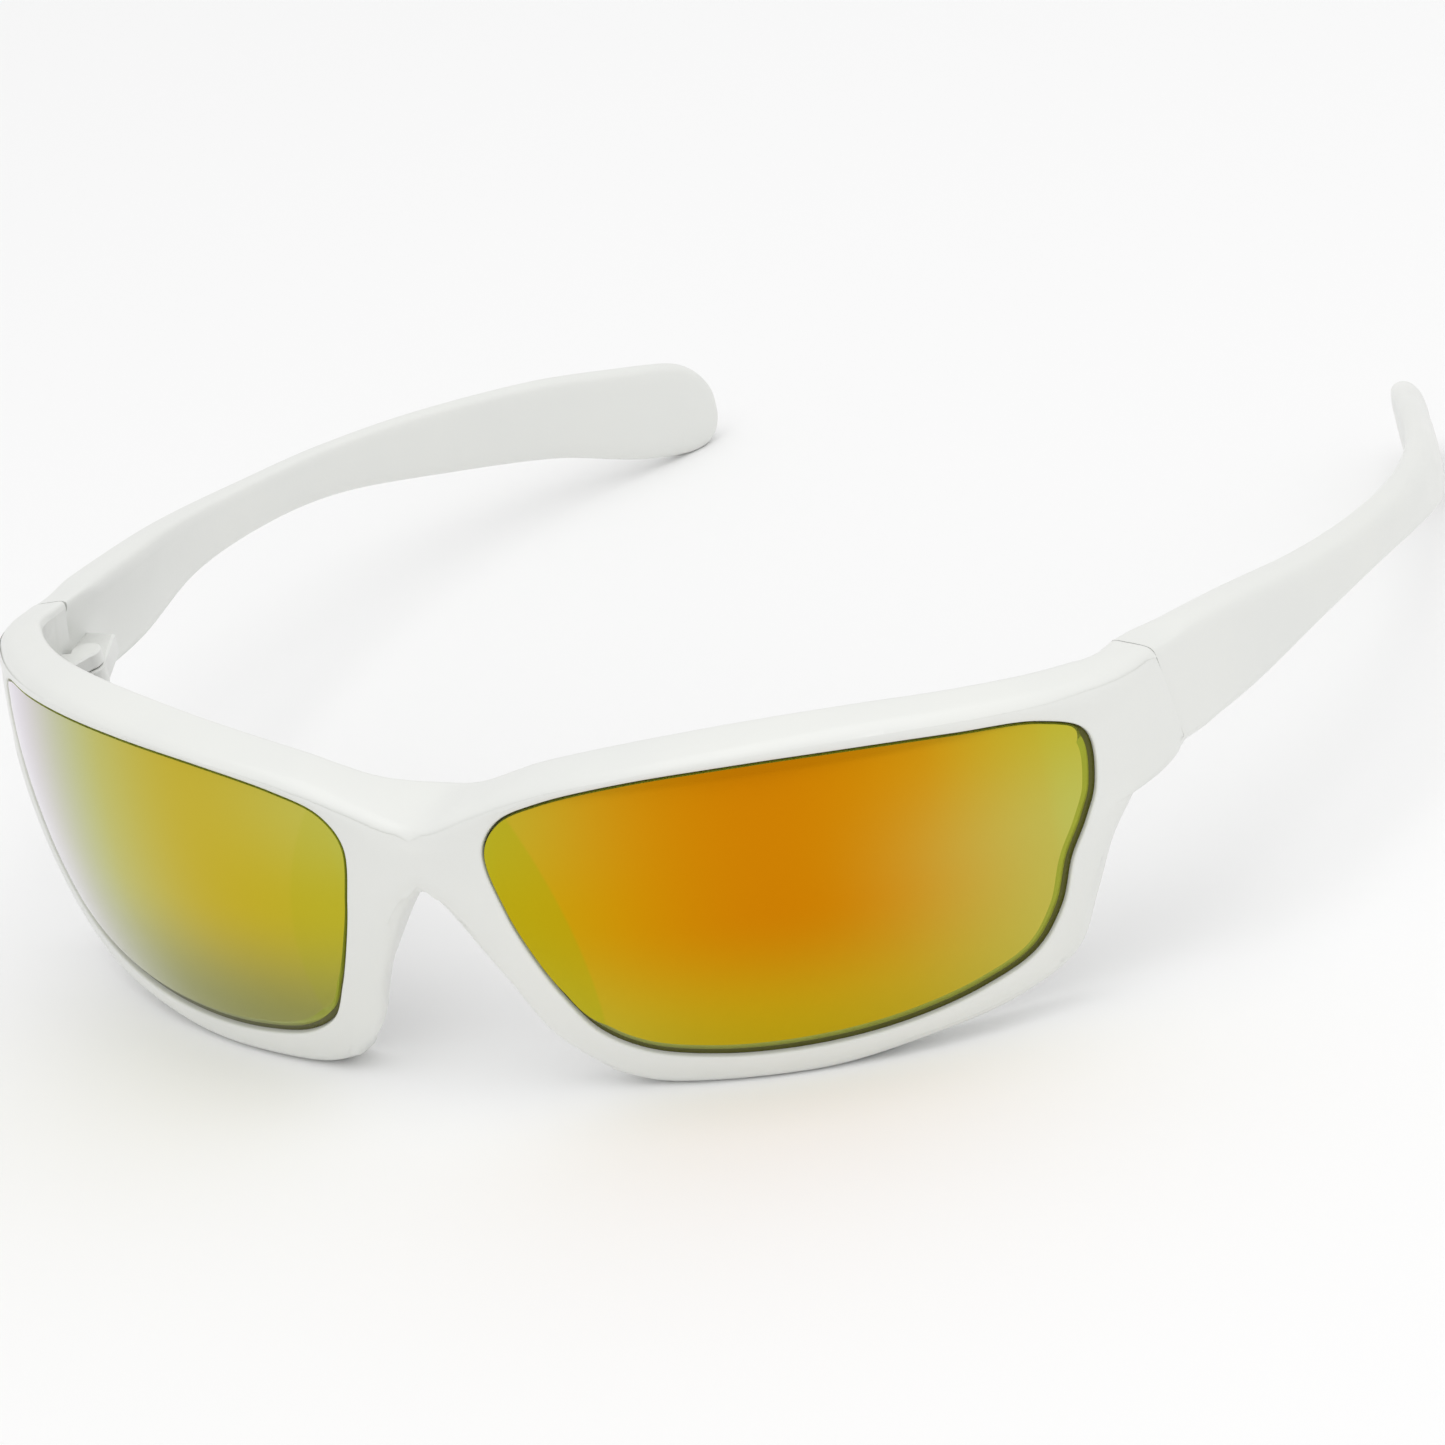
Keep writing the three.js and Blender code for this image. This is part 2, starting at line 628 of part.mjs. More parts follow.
// ---- Materials and assembly.
const MATERIALS = {
  frame: new THREE.MeshStandardMaterial({ color: 0xeceee8, roughness: 0.32, metalness: 0 }),
  lens: new THREE.MeshStandardMaterial({ color: 0xd68a10, roughness: 0.08, metalness: 0.9 }),
  steel: new THREE.MeshStandardMaterial({ color: 0xb9bcc0, roughness: 0.3, metalness: 1 }),
  brass: new THREE.MeshStandardMaterial({ color: 0xc9a15a, roughness: 0.35, metalness: 1 }),
};

const glasses = new THREE.Group();

function addPiece(name, geometry, material) {
  const mesh = new THREE.Mesh(geometry, material);
  mesh.name = name;
  glasses.add(mesh);
}

// The wearer's left piece is as modelled, and the right one is its mirror image.
function addPair(name, geometry, material) {
  addPiece(`${name}_left`, geometry, material);
  addPiece(`${name}_right`, mirrorGeometry(geometry), material);
}

addPiece("front_frame", frontFrame(), MATERIALS.frame);
addPair("lens", lensGeometry(), MATERIALS.lens);
addPair("temple", temple(), MATERIALS.frame);
addPair("hinge_screw", screw(), MATERIALS.steel);
addPair("hinge_nut", nut(), MATERIALS.brass);

// The origin is on the ground, midway between the front and the temple tips.
const middle = new THREE.Box3().setFromObject(glasses).getCenter(new THREE.Vector3());
glasses.position.y = -middle.y;

export default glasses;
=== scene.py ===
"""Wraparound sport sunglasses: a moulded off-white front, two mirrored lenses and two folding temples.

The outlines are in millimetres, like the CAD part's, and MM turns them into metres. The front faces -Y,
the temples run towards +Y, and +X is the wearer's left. Each shape is built for the wearer's left, and
its mirror image makes the other side.
"""

import json
import math

import bmesh
import bpy
import numpy as np
from mathutils import Matrix, Vector


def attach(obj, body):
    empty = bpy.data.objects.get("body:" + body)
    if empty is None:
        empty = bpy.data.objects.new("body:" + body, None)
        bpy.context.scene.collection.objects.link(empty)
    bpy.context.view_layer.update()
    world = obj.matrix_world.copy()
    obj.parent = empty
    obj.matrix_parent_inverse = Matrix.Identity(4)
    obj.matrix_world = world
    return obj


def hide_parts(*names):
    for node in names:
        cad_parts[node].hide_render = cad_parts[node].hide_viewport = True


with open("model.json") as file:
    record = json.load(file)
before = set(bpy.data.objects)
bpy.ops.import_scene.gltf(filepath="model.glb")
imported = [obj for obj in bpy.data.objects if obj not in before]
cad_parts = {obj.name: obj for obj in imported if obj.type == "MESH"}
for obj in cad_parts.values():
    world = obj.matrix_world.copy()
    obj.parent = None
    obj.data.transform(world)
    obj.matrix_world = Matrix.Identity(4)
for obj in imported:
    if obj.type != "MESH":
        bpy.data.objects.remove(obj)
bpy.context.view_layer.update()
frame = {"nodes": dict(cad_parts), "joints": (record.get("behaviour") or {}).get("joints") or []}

MM = 0.001

# ---- Front surface: a flat bridge, then a sphere over each eye, then a tight corner to the hinge.
WRAP_RADIUS = 68.5
WRAP_CENTRE_Z = 20.6
BRIDGE_HALF = 11.9
CORNER_START = 65.0
CORNER_RADIUS = 12.0
END_STRAIGHT = 3.0

# ---- Lens and its seat, as depths behind the front face.
LIP_DEPTH = 1.4
LENS_SET_BACK = 0.15
LENS_THICKNESS = 2.1
LENS_FLANGE = 0.8
LENS_BEVEL = 1.6
LENS_SHOULDER = 0.75
BEVEL_DROP = 0.35
SEAT_GAP = 0.2
LEDGE_DROP = 0.1  # slope of the ledge between the bevel and the frame, coloured dark as painted shade of the gap
NARROW_BEVEL = 0.3  # what is left of the bevel along the brow and the nose
BEVEL_WAY = (0.6, -0.8)  # the outward direction in which the bevel is widest
BEVEL_STARTS, BEVEL_FULL = -0.4, 0.3  # how far an edge faces that way where the bevel widens
REAR_LIP = 0.65
REAR_OPENING = 0.3
LENS_REAR_DEPTH = LENS_SET_BACK + LENS_THICKNESS
GROOVE_DEPTH = LENS_REAR_DEPTH + SEAT_GAP
RIM_DEPTH = GROOVE_DEPTH + REAR_LIP

# ---- Moulded front.
FACE_CROWN = 0.34
WALL_CROWN = 0.37
CROWN_RUN_OUT = 3.0
REAR_EDGE = 2.2
BROW_RISE = 0.8
BROW_FOOT, BROW_FULL = 24, 30  # heights between which the brow's rear edge rises
NOSE_FLARE = 3.1

# ---- Radii of the moulded edges.
OPENING_RADIUS = 0.3
CREASE_RADIUS = 1.1
REAR_RADIUS = 0.9
INNER_RADIUS = 0.5
WALL_FULLNESS = 2.4  # 4 would reach the full crown of the wall halfway along it

# ---- Temples and hinge.
TEMPLE_GAP = 0.2
INNER_RECESS = 2.0
RECESS_LENGTH = 36.0
SQUARE_LENGTH = 8.0
LEAN_LENGTH = 30.0
TIP_ROUND = 5.0
TIP_POWER = 2.4
TIP_REACH = 0.975  # how much of the rounded end is built, so that it stays inside the part's box
TEMPLE_RADIUS = 0.9
TEMPLE_ROUNDING = [1.2, 1, 0.8, 0.8, 0.8, 1, 1.5, 2, 1.5, 0.9, 0.9, 0.8, 1]  # of each corner, in those radii
TEMPLE_LOW_CUT, ROOT_LOW_CUT = 0.16, 0.04  # cut under the outer face, as shares of a section's height
TIP_THICKNESS = 0.35  # share of the thickness that is left where the tip ends
KNUCKLE_RADIUS = 1.7
KNUCKLE_GAP = 0.3
AXIS_SET_FORWARD = 0.65
LUG_HEIGHT = 1.8
TONGUE_HEIGHT = 2.4
LUG_PLAY = 0.15
HINGE_Z = 25.4
WEB_LENGTH = 7.0
WEB_ROOT = 2.6
KNUCKLE_CHAMFER = 0.2
SCREW_RADIUS = 0.75
SCREW_HEAD_RADIUS = 1.3
SCREW_HEAD_HEIGHT = 0.7
SLOT_WIDTH = 0.4
SLOT_DEPTH = 0.35
SLOT_TURN = 28  # degrees by which the driver slot is turned from the temple
SCREW_EDGE = 0.15  # rounding of the screw's head and end
SCREW_HUB = 0.02  # radius at which the flat ends of the screw close
WEB_SET_BACK = 0.4  # from the temple's root to the front of the tongue's web
NUT_HEIGHT = 0.9
NUT_GAP = 0.08
SCREW_CLEARANCE = 0.05

# ---- Fineness of the meshes.
STATION_FINENESS = 4  # times as many stations as the CAD part has
CORNER_STEPS = 4  # points that round one edge of a section
WALL_STEPS = 6
TEMPLE_SECTIONS = 150
TIP_SECTIONS = 16
ARC_STEPS = 32

CORNER_ANGLE = CORNER_START / WRAP_RADIUS
CORNER_X = BRIDGE_HALF + (WRAP_RADIUS - CORNER_RADIUS) * math.sin(CORNER_ANGLE)
CORNER_Y = WRAP_RADIUS - (WRAP_RADIUS - CORNER_RADIUS) * math.cos(CORNER_ANGLE)
CORNER_END = CORNER_START + (math.pi / 2 - CORNER_ANGLE) * CORNER_RADIUS
HINGE_LINE = CORNER_END + END_STRAIGHT
HINGE_LINE_Y = CORNER_Y + END_STRAIGHT
TEMPLE_OUTER_X = CORNER_X + CORNER_RADIUS

# The outlines' y = 0 is the front of the bridge, and the part's is midway along it. The hinge ties them.
hinge_y = frame["joints"][0]["pos_m"][1] / MM
SHIFT_Y = hinge_y - (HINGE_LINE_Y - AXIS_SET_FORWARD)


def plan_point(u):
    """Plan position and direction of the front's outer face at distance u along the wrap."""
    u = np.asarray(u, float)
    angle = np.where(u < CORNER_START, u / WRAP_RADIUS, CORNER_ANGLE + (u - CORNER_START) / CORNER_RADIUS)
    angle = np.clip(angle, 0, math.pi / 2)
    on_sphere = u < CORNER_START
    sine, cosine = np.sin(angle), np.cos(angle)
    x = np.where(on_sphere, BRIDGE_HALF + WRAP_RADIUS * sine, CORNER_X + CORNER_RADIUS * sine)
    y = np.where(on_sphere, WRAP_RADIUS * (1 - cosine), CORNER_Y - CORNER_RADIUS * cosine)
    x = np.where(u < 0, BRIDGE_HALF + u, x)
    y = np.where(u > CORNER_END, CORNER_Y + u - CORNER_END, y)
    return x, y, angle


def sag(z):
    """How far the front face has fallen back from its equator at height z."""
    return WRAP_RADIUS - np.sqrt(WRAP_RADIUS**2 - (z - WRAP_CENTRE_Z) ** 2)


def place(u, z, back=0.0, lift=0.0):
    """A point of the front face at (u, z), moved level towards the head by back, and up by lift."""
    x, y, angle = plan_point(u)
    inward = sag(z) + back
    return np.stack([x - inward * np.sin(angle), y + inward * np.cos(angle), z + lift], -1)


def shell(u, z, depth):
    """A point straight behind (u, z) on the sphere that lies depth inside the front face."""
    tilt = np.arcsin((z - WRAP_CENTRE_Z) / WRAP_RADIUS)
    return place(u, z, depth * np.cos(tilt), -depth * np.sin(tilt))


# ---- Outlines, in (distance along the wrap, height). A scratch program fitted their points to the
# photograph, and they are rounded to 0.1 mm.
# Lens opening, clockwise from its upper nasal corner.
OPENING = np.array([
    (-3.5, 28.7), (-1.2, 32.1), (4.2, 34.3), (14.5, 36.1), (26.9, 36.6), (38.6, 36), (49.6, 34.6),
    (58.5, 32.8), (63, 30), (62.5, 24.3), (60.6, 20.8), (58.2, 17.3), (56.1, 12.4), (52.5, 8.1),
    (46, 5.5), (36.8, 3.7), (26.8, 3), (16.6, 3.3), (8.8, 4.6), (4.3, 7.2), (1.5, 11.7), (-0.6, 16.5),
    (-2.4, 22),
])
# Outer edge of the front in the same sense, as (along, height, depth of the wall behind it).
BRIDGE_TOP = (-BRIDGE_HALF, 30.8, 9.2)
BRIDGE_UNDERSIDE = (-BRIDGE_HALF, 23.7, 8.2)
HINGE_TOP = (HINGE_LINE, 33.4, 4.8)
HINGE_BOTTOM = (HINGE_LINE, 22, 4.4)
NOTCH = (67, 22.1, 4.2)
CHIN = (4, 1.6, 4.4)
BROW = [
    BRIDGE_TOP, (-5.8, 32.5, 6.7), (2, 35.3, 5.4), (14, 37.3, 4.9), (27, 38.1, 4.8), (39.5, 37.8, 4.5),
    (51.5, 36.4, 4.5), (61.5, 35, 4.6), HINGE_TOP,
]
LOWER_RIM = [
    NOTCH, (63.2, 18, 4.3), (60.2, 12.5, 4.4), (56.8, 6.4, 4.4), (49.5, 3.1, 4.4), (38.5, 1.2, 4.4),
    (27.4, -0.2, 4.4), (16, -0.2, 4.4), (8.5, 0.2, 4.4), CHIN,
]
NOSE_EDGE = [CHIN, (-1.4, 6.4, 5.6), (-5.2, 14.5, 7.8), BRIDGE_UNDERSIDE]
# Each stretch: its points, the opening points that it faces, its steps in the CAD part, and whether the
# outer edge is a free surface there.
STRETCHES = [
    (BROW, 0, 8, 30, True),
    ([HINGE_TOP, HINGE_BOTTOM], 8, 9, 6, True),
    ([HINGE_BOTTOM, NOTCH], 9, 10, 4, True),
    (LOWER_RIM, 10, 19, 27, True),
    (NOSE_EDGE, 19, 22, 10, True),
    ([BRIDGE_UNDERSIDE, BRIDGE_TOP], 22, 23, 4, False),
]
MIDDLE_Z = (BRIDGE_TOP[1] + BRIDGE_UNDERSIDE[1]) / 2


def catmull_rom(points, at, closed):
    """The centripetal Catmull-Rom curve through points, at shares of its length in spans from 0 to 1."""
    points = np.asarray(points, float)
    count = len(points)
    spans = count if closed else count - 1
    if not closed:
        before, after = 2 * points[0] - points[1], 2 * points[-1] - points[-2]
        points = np.vstack([before, points, after])
    position = np.clip(np.asarray(at, float), 0, 1) * spans
    index = np.minimum(np.floor(position).astype(int), spans - 1)
    weight = (position - index)[:, None]
    first = index - 1 if closed else index
    p0, p1, p2, p3 = (points[(first + k) % len(points)] for k in range(4))

    def gap(a, b):
        return np.sqrt(np.linalg.norm(b - a, axis=1))[:, None]

    d0, d1, d2 = gap(p0, p1), gap(p1, p2), gap(p2, p3)
    t1 = ((p1 - p0) / d0 - (p2 - p0) / (d0 + d1) + (p2 - p1) / d1) * d1
    t2 = ((p2 - p1) / d1 - (p3 - p1) / (d1 + d2) + (p3 - p2) / d2) * d1
    rise = p2 - p1
    return p1 + t1 * weight + (3 * rise - 2 * t1 - t2) * weight**2 + (t1 + t2 - 2 * rise) * weight**3


def normals_2d(before, after):
    """Unit vectors to the left of the way from before to after."""
    way = after - before
    way = way / np.linalg.norm(way, axis=1)[:, None]
    return np.stack([-way[:, 1], way[:, 0]], -1)


def make_stations():
    """Stations round the lens: points on the opening and on the outer edge, and their outward directions."""
    parts = []
    nudge = 1e-4
    for points, start, end, steps, walled in STRETCHES:
        points = np.array(points, float)
        steps *= STATION_FINENESS
        done = np.arange(steps) / steps
        along = (start + (end - start) * done) / len(OPENING)
        opening = catmull_rom(OPENING, along, True)
        normal = normals_2d(
            catmull_rom(OPENING, along - nudge, True), catmull_rom(OPENING, along + nudge, True)
        )
        mirror = np.array([-1, 1, 1])
        shift = np.array([-2 * BRIDGE_HALF, 0, 0])
        leads = len(points) > 2 and points[0][0] <= -BRIDGE_HALF
        trails = len(points) > 2 and points[-1][0] <= -BRIDGE_HALF
        full = points
        if leads:
            full = np.vstack([points[1] * mirror + shift, full])
        if trails:
            full = np.vstack([full, points[-2] * mirror + shift])
        spans = len(full) - 1
        at = (leads + (len(points) - 1) * done) / spans
        outer = catmull_rom(full, at, False)
        edge_normal = normals_2d(
            catmull_rom(full, at - nudge, False)[:, :2], catmull_rom(full, at + nudge, False)[:, :2]
        )
        on_middle = outer[:, 0] < -BRIDGE_HALF + 1e-6
        edge_normal[on_middle] = np.stack(
            [np.zeros(on_middle.sum()), np.sign(outer[on_middle, 1] - MIDDLE_Z)], -1
        )
        on_end_face = len(points) == 2 and walled and points[0][1] == HINGE_TOP[1]
        if on_end_face:
            edge_normal[0] = (0, 1)
            low, high = HINGE_BOTTOM[1] + CREASE_RADIUS, HINGE_TOP[1] - CREASE_RADIUS
            outer[1:, 1] = np.linspace(high, low, steps - 1)
        inside_bridge = np.logical_and(not walled, done > 0)
        if not walled:
            low, high = BRIDGE_UNDERSIDE[1] + CREASE_RADIUS, BRIDGE_TOP[1] - CREASE_RADIUS
            outer[:, 1] = np.where(inside_bridge, low + (high - low) * done, outer[:, 1])
        flare = NOSE_FLARE * np.sin(math.pi * done) if points[0][0] == CHIN[0] else np.zeros(steps)
        crown = WALL_CROWN * np.minimum(1, (HINGE_LINE - outer[:, 0]) / CROWN_RUN_OUT)
        fullness = np.sin(math.pi * done) * (not walled)
        plain = np.logical_or(inside_bridge, on_end_face & (done > 0))
        walls = np.full(steps, walled)
        parts.append((opening, normal, outer, edge_normal, crown, fullness, flare, walls, plain))
    return [np.concatenate(columns) for columns in zip(*parts)]


# fullness is how far the bulge of the face carries on over the mid-plane. A station is plain where the
# front ends in a flat face, on the mid-plane or at the hinge, so that it has no edge to round.
opening, opening_normal, outer_edge, edge_normal, wall_crown, fullness, flare, walled, plain = make_stations()
STATIONS = len(opening)


def opening_at(offset):
    """The opening's outline moved outward by offset."""
    return opening + opening_normal * offset


def round_through(start, corner, end):
    """Points from start to end along a curve that corner pulls outward."""
    return [
        start * (1 - t) ** 2 + corner * (2 * t * (1 - t)) + end * t**2
        for t in np.linspace(0, 1, CORNER_STEPS + 1)
    ]


def rounded(before, corner, after, radius):
    """Points that round a corner of a section, from the side of before to the side of after."""
    radius = np.broadcast_to(radius, corner.shape[:1])

    def towards(other):
        way = other - corner
        length = np.linalg.norm(way, axis=1)
        share = np.minimum(radius / np.maximum(length, 1e-9), 0.45)
        return corner + way * share[:, None]

    return round_through(towards(before), corner, towards(after))


def smoothstep(value, low, high):
    t = np.clip((value - low) / (high - low), 0, 1)
    return t * t * (3 - 2 * t)


# ---- Meshes.
def band_faces(stations, rows, closed_stations=True, closed_rows=True, keep=None):
    """Four-sided faces between neighbouring stations and rows. A point's number is station * rows + row."""
    faces = []
    for s in range(stations if closed_stations else stations - 1):
        n = (s + 1) % stations
        for r in range(rows if closed_rows else rows - 1):
            if keep is not None and not keep(s, r):
                continue
            q = (r + 1) % rows
            faces.append((s * rows + r, n * rows + r, n * rows + q, s * rows + q))
    return faces


def make_object(name, points, faces, sharp_angle=38.0, mirror=False, both=False, slots=None):
    """A mesh object from points in outline millimetres. mirror makes the other side's piece, and both
    joins the two halves along the mid-plane. slots gives each face its material slot."""
    points = np.asarray(points, float).reshape(-1, 3)
    flip = np.array([-1, 1, 1])
    faces = [tuple(f) for f in faces]
    if both:
        count = len(points)
        points = np.vstack([points, points * flip])
        faces = faces + [tuple(count + i for i in reversed(f)) for f in faces]
        slots = None if slots is None else list(slots) * 2
    elif mirror:
        points = points * flip
        faces = [tuple(reversed(f)) for f in faces]
    world = points * MM + np.array([0, SHIFT_Y * MM, 0])
    world[:, 2] = np.maximum(world[:, 2], 0)
    mesh = bpy.data.meshes.new(name)
    mesh.from_pydata(world.tolist(), [], faces)
    if slots is not None:
        mesh.polygons.foreach_set("material_index", slots)
    shape = bmesh.new()
    shape.from_mesh(mesh)
    bmesh.ops.remove_doubles(shape, verts=shape.verts, dist=1e-6)
    bmesh.ops.dissolve_degenerate(shape, dist=1e-7, edges=shape.edges)
    finish_mesh(shape, mesh, sharp_angle)
    piece = bpy.data.objects.new(name, mesh)
    bpy.context.scene.collection.objects.link(piece)
    return piece


def finish_mesh(shape, mesh, sharp_angle):
    """Smooth shading, with edges over sharp_angle kept crisp."""
    for face in shape.faces:
        face.smooth = True
    limit = math.radians(sharp_angle)
    for edge in shape.edges:
        edge.smooth = len(edge.link_faces) != 2 or edge.calc_face_angle(0) < limit
    shape.to_mesh(mesh)
    shape.free()


# ---- Front.
def front_section():
    """Rows of points across the moulded front at every station, with rounded edges."""
    depth = outer_edge[:, 2]
    rise = BROW_RISE * smoothstep(outer_edge[:, 1], BROW_FOOT, BROW_FULL)

    def face_bulge(share):
        return FACE_CROWN * np.sin(math.pi * share / (1 + fullness))

    def on_face(share):
        u = opening[:, 0] * (1 - share) + outer_edge[:, 0] * share
        z = opening[:, 1] * (1 - share) + outer_edge[:, 1] * share
        return place(u, z, -face_bulge(share))

    rear = opening_at(REAR_OPENING)
    span = np.linalg.norm(outer_edge[:, :2] - rear, axis=1)
    in_share = np.minimum(REAR_EDGE / span, 0.6)

    def inner(share, back):
        u = (outer_edge[:, 0] + flare) * (1 - share) + rear[:, 0] * share
        z = outer_edge[:, 1] * (1 - share) + rear[:, 1] * share
        return place(u, z, back, rise * (1 - share))

    width = np.linalg.norm(outer_edge[:, :2] - opening, axis=1)
    crease = np.where(plain, 0, np.minimum(CREASE_RADIUS, 0.4 * width))
    rear_round = np.where(plain, 0, np.minimum(REAR_RADIUS, 0.3 * width))
    face_end = 1 - crease / width

    def beside_edge(distance, bulge, back, lift):
        """A point straight in from the outer edge by distance."""
        return place(
            outer_edge[:, 0] - edge_normal[:, 0] * distance,
            outer_edge[:, 1] - edge_normal[:, 1] * distance,
            back - bulge,
            lift,
        )

    front_edge = on_face(1.0)
    rear_edge = inner(np.zeros(STATIONS), depth)
    crown_at = place(
        outer_edge[:, 0] + edge_normal[:, 0] * wall_crown + flare / 2,
        outer_edge[:, 1] + edge_normal[:, 1] * wall_crown,
        depth / 2,
        rise / 2,
    )
    bulge = crown_at - (front_edge + rear_edge) / 2

    def on_wall(t):
        return front_edge * (1 - t) + rear_edge * t + bulge * (WALL_FULLNESS * t * (1 - t))

    def bend(start, corner, end):
        return [np.where(plain[:, None], corner, point) for point in round_through(start, corner, end)]

    rear_inner = inner(in_share, depth)
    slope_middle = inner((1 + in_share) / 2, (depth + RIM_DEPTH) / 2)
    opening_front = shell(opening[:, 0], opening[:, 1], np.zeros(STATIONS))
    opening_back = shell(opening[:, 0], opening[:, 1], np.full(STATIONS, LIP_DEPTH))
    rear_front = shell(rear[:, 0], rear[:, 1], np.full(STATIONS, RIM_DEPTH))
    rear_back = shell(rear[:, 0], rear[:, 1], np.full(STATIONS, GROOVE_DEPTH))
    groove = opening_at(LENS_FLANGE + SEAT_GAP)
    groove_back = shell(groove[:, 0], groove[:, 1], np.full(STATIONS, GROOVE_DEPTH))
    groove_front = shell(groove[:, 0], groove[:, 1], np.full(STATIONS, LIP_DEPTH))

    rows = rounded(opening_back, opening_front, on_face(0.14), OPENING_RADIUS)
    rows += [on_face(share * face_end) for share in (0.2, 0.4, 0.6, 0.8, 0.93)]
    wall_first = len(rows)
    crease_start = beside_edge(crease, face_bulge(face_end), 0, 0)
    rows += bend(crease_start, front_edge, on_wall((crease / depth)[:, None]))
    rows += [on_wall(t) for t in np.linspace(0.35, 0.7, WALL_STEPS)]
    rear_end = beside_edge(rear_round, 0, depth, rise) + (rear_edge - beside_edge(0, 0, depth, rise))
    rows += bend(on_wall(1 - (rear_round / depth)[:, None]), rear_edge, rear_end)
    wall_last = len(rows) - 1
    rows += rounded(rear_end, rear_inner, slope_middle, INNER_RADIUS)
    rows += rounded(slope_middle, rear_front, rear_back, INNER_RADIUS / 2)
    rows += [rear_back, groove_back, groove_front, opening_back]
    return np.stack(rows, 1), wall_first, wall_last


def make_front():
    rows, wall_first, wall_last = front_section()
    count = rows.shape[1]

    def keep(s, r):
        return walled[s] or not wall_first <= r < wall_last

    faces = band_faces(STATIONS, count, keep=keep)
    return make_object("front_moulding", rows, faces, both=True, sharp_angle=50)


# ---- Lenses.
lens_middle = catmull_rom(OPENING, np.linspace(0, 1, 61), True).mean(0)


def lens_ring(offset, depth, share=1.0):
    edge = opening_at(np.reshape(offset, (-1, 1)))
    at = lens_middle * (1 - share) + edge * share
    return shell(at[:, 0], at[:, 1], np.full(STATIONS, depth))


# The bevel is full along the temporal and lower edges, and narrow under the brow and beside the nose.
facing = BEVEL_WAY[0] * opening_normal[:, 0] + BEVEL_WAY[1] * opening_normal[:, 1]
bevel_share = smoothstep(facing, BEVEL_STARTS, BEVEL_FULL)
bevel_width = NARROW_BEVEL + (LENS_BEVEL - NARROW_BEVEL) * bevel_share
shoulder_width = LENS_SHOULDER * bevel_width / LENS_BEVEL
LENS_FACE, LENS_BAND, LENS_EDGE, LENS_REAR = range(4)


def make_lens(name, mirror):
    """A lens with a raised mirrored middle, a bevel round it, a steep edge darkened as painted shade of
    the gap to the frame, and a dark rear face.
    """
    inner_shares = np.linspace(0.08, 0.99, 16)
    flange_depth = LIP_DEPTH + SEAT_GAP
    rings = [lens_ring(-bevel_width, LENS_SET_BACK, share) for share in inner_shares]
    kinds = [LENS_FACE] * len(rings)
    rings.append(lens_ring(-bevel_width, LENS_SET_BACK + 0.01))
    kinds.append(LENS_BAND)
    rings.append(lens_ring(-(bevel_width + shoulder_width) / 2, LENS_SET_BACK + BEVEL_DROP * 0.45))
    kinds.append(LENS_BAND)
    rings.append(lens_ring(-shoulder_width, LENS_SET_BACK + BEVEL_DROP))
    kinds.append(LENS_EDGE)
    rings.append(lens_ring(-0.03, LENS_SET_BACK + BEVEL_DROP + LEDGE_DROP))
    kinds.append(LENS_EDGE)
    rings.append(lens_ring(-0.01, flange_depth))
    kinds.append(LENS_EDGE)
    rings.append(lens_ring(LENS_FLANGE, flange_depth))
    kinds.append(LENS_EDGE)
    rings.append(lens_ring(LENS_FLANGE, LENS_REAR_DEPTH))
    kinds.append(LENS_REAR)
    rear = [lens_ring(LENS_FLANGE, LENS_REAR_DEPTH, share) for share in inner_shares[::-1]]
    rings += rear
    kinds += [LENS_REAR] * len(rear)
    rows = np.stack(rings, 1)
    count = rows.shape[1]
    faces = band_faces(STATIONS, count, closed_rows=False)
    slots = [kinds[r] for _ in range(STATIONS) for r in range(count - 1)]
    points = rows.reshape(-1, 3).tolist()
    front_middle, rear_middle = len(points), len(points) + 1
    for depth in (LENS_SET_BACK, LENS_REAR_DEPTH):
        points.append(shell(lens_middle[:1], lens_middle[1:], np.array([depth]))[0].tolist())
    for s in range(STATIONS):
        n = (s + 1) % STATIONS
        faces.append((front_middle, n * count, s * count))
        slots.append(LENS_FACE)
        faces.append((rear_middle, s * count + count - 1, n * count + count - 1))
        slots.append(LENS_REAR)
    return make_object(name, points, faces, mirror=mirror, slots=slots, sharp_angle=14)


# ---- Temples: (distance behind the root, how far out, top, crease, bottom, thickness).
TEMPLE = np.array([
    (0, 0, HINGE_TOP[1] + BROW_RISE, HINGE_TOP[1], HINGE_BOTTOM[1], HINGE_TOP[2]),
    (15, 1, 31.2, 29.6, 20.2, 4.6),
    (30, 2.2, 27.7, 25.9, 20.1, 4),
    (44, 1.4, 24.5, 22.9, 18.4, 3.5),
    (57, -0.7, 21.9, 19.9, 15.5, 3.3),
    (70, -5.4, 19.3, 16.8, 11, 3.3),
    (83, -12.9, 16.4, 12.5, 6.2, 3.5),
    (92, -18.8, 13.3, 9, 1.3, 3.5),
    (100.5, -23.3, 9.7, 5.6, -1.6, 3.6),
])
TEMPLE_LENGTH = TEMPLE[-1, 0]
TEMPLE_START = HINGE_LINE_Y + TEMPLE_GAP


def temple_measures(back):
    """The five measures of the temple at distances behind its root, smooth through the stations."""
    backs, values = TEMPLE[:, 0], TEMPLE[:, 1:]
    last = len(backs) - 1
    lower = np.maximum(np.arange(last + 1) - 1, 0)
    upper = np.minimum(np.arange(last + 1) + 1, last)
    slopes = (values[upper] - values[lower]) / (backs[upper] - backs[lower])[:, None]
    i = np.clip(np.searchsorted(backs, back, side="left") - 1, 0, last - 1)
    span = (backs[i + 1] - backs[i])[:, None]
    t = ((back - backs[i])[:, None]) / span
    rise = values[i + 1] - values[i]
    bend = (1 - t) * (slopes[i] * span - rise) - t * (slopes[i + 1] * span - rise)
    return (values[i] + t * rise + t * (1 - t) * bend).T


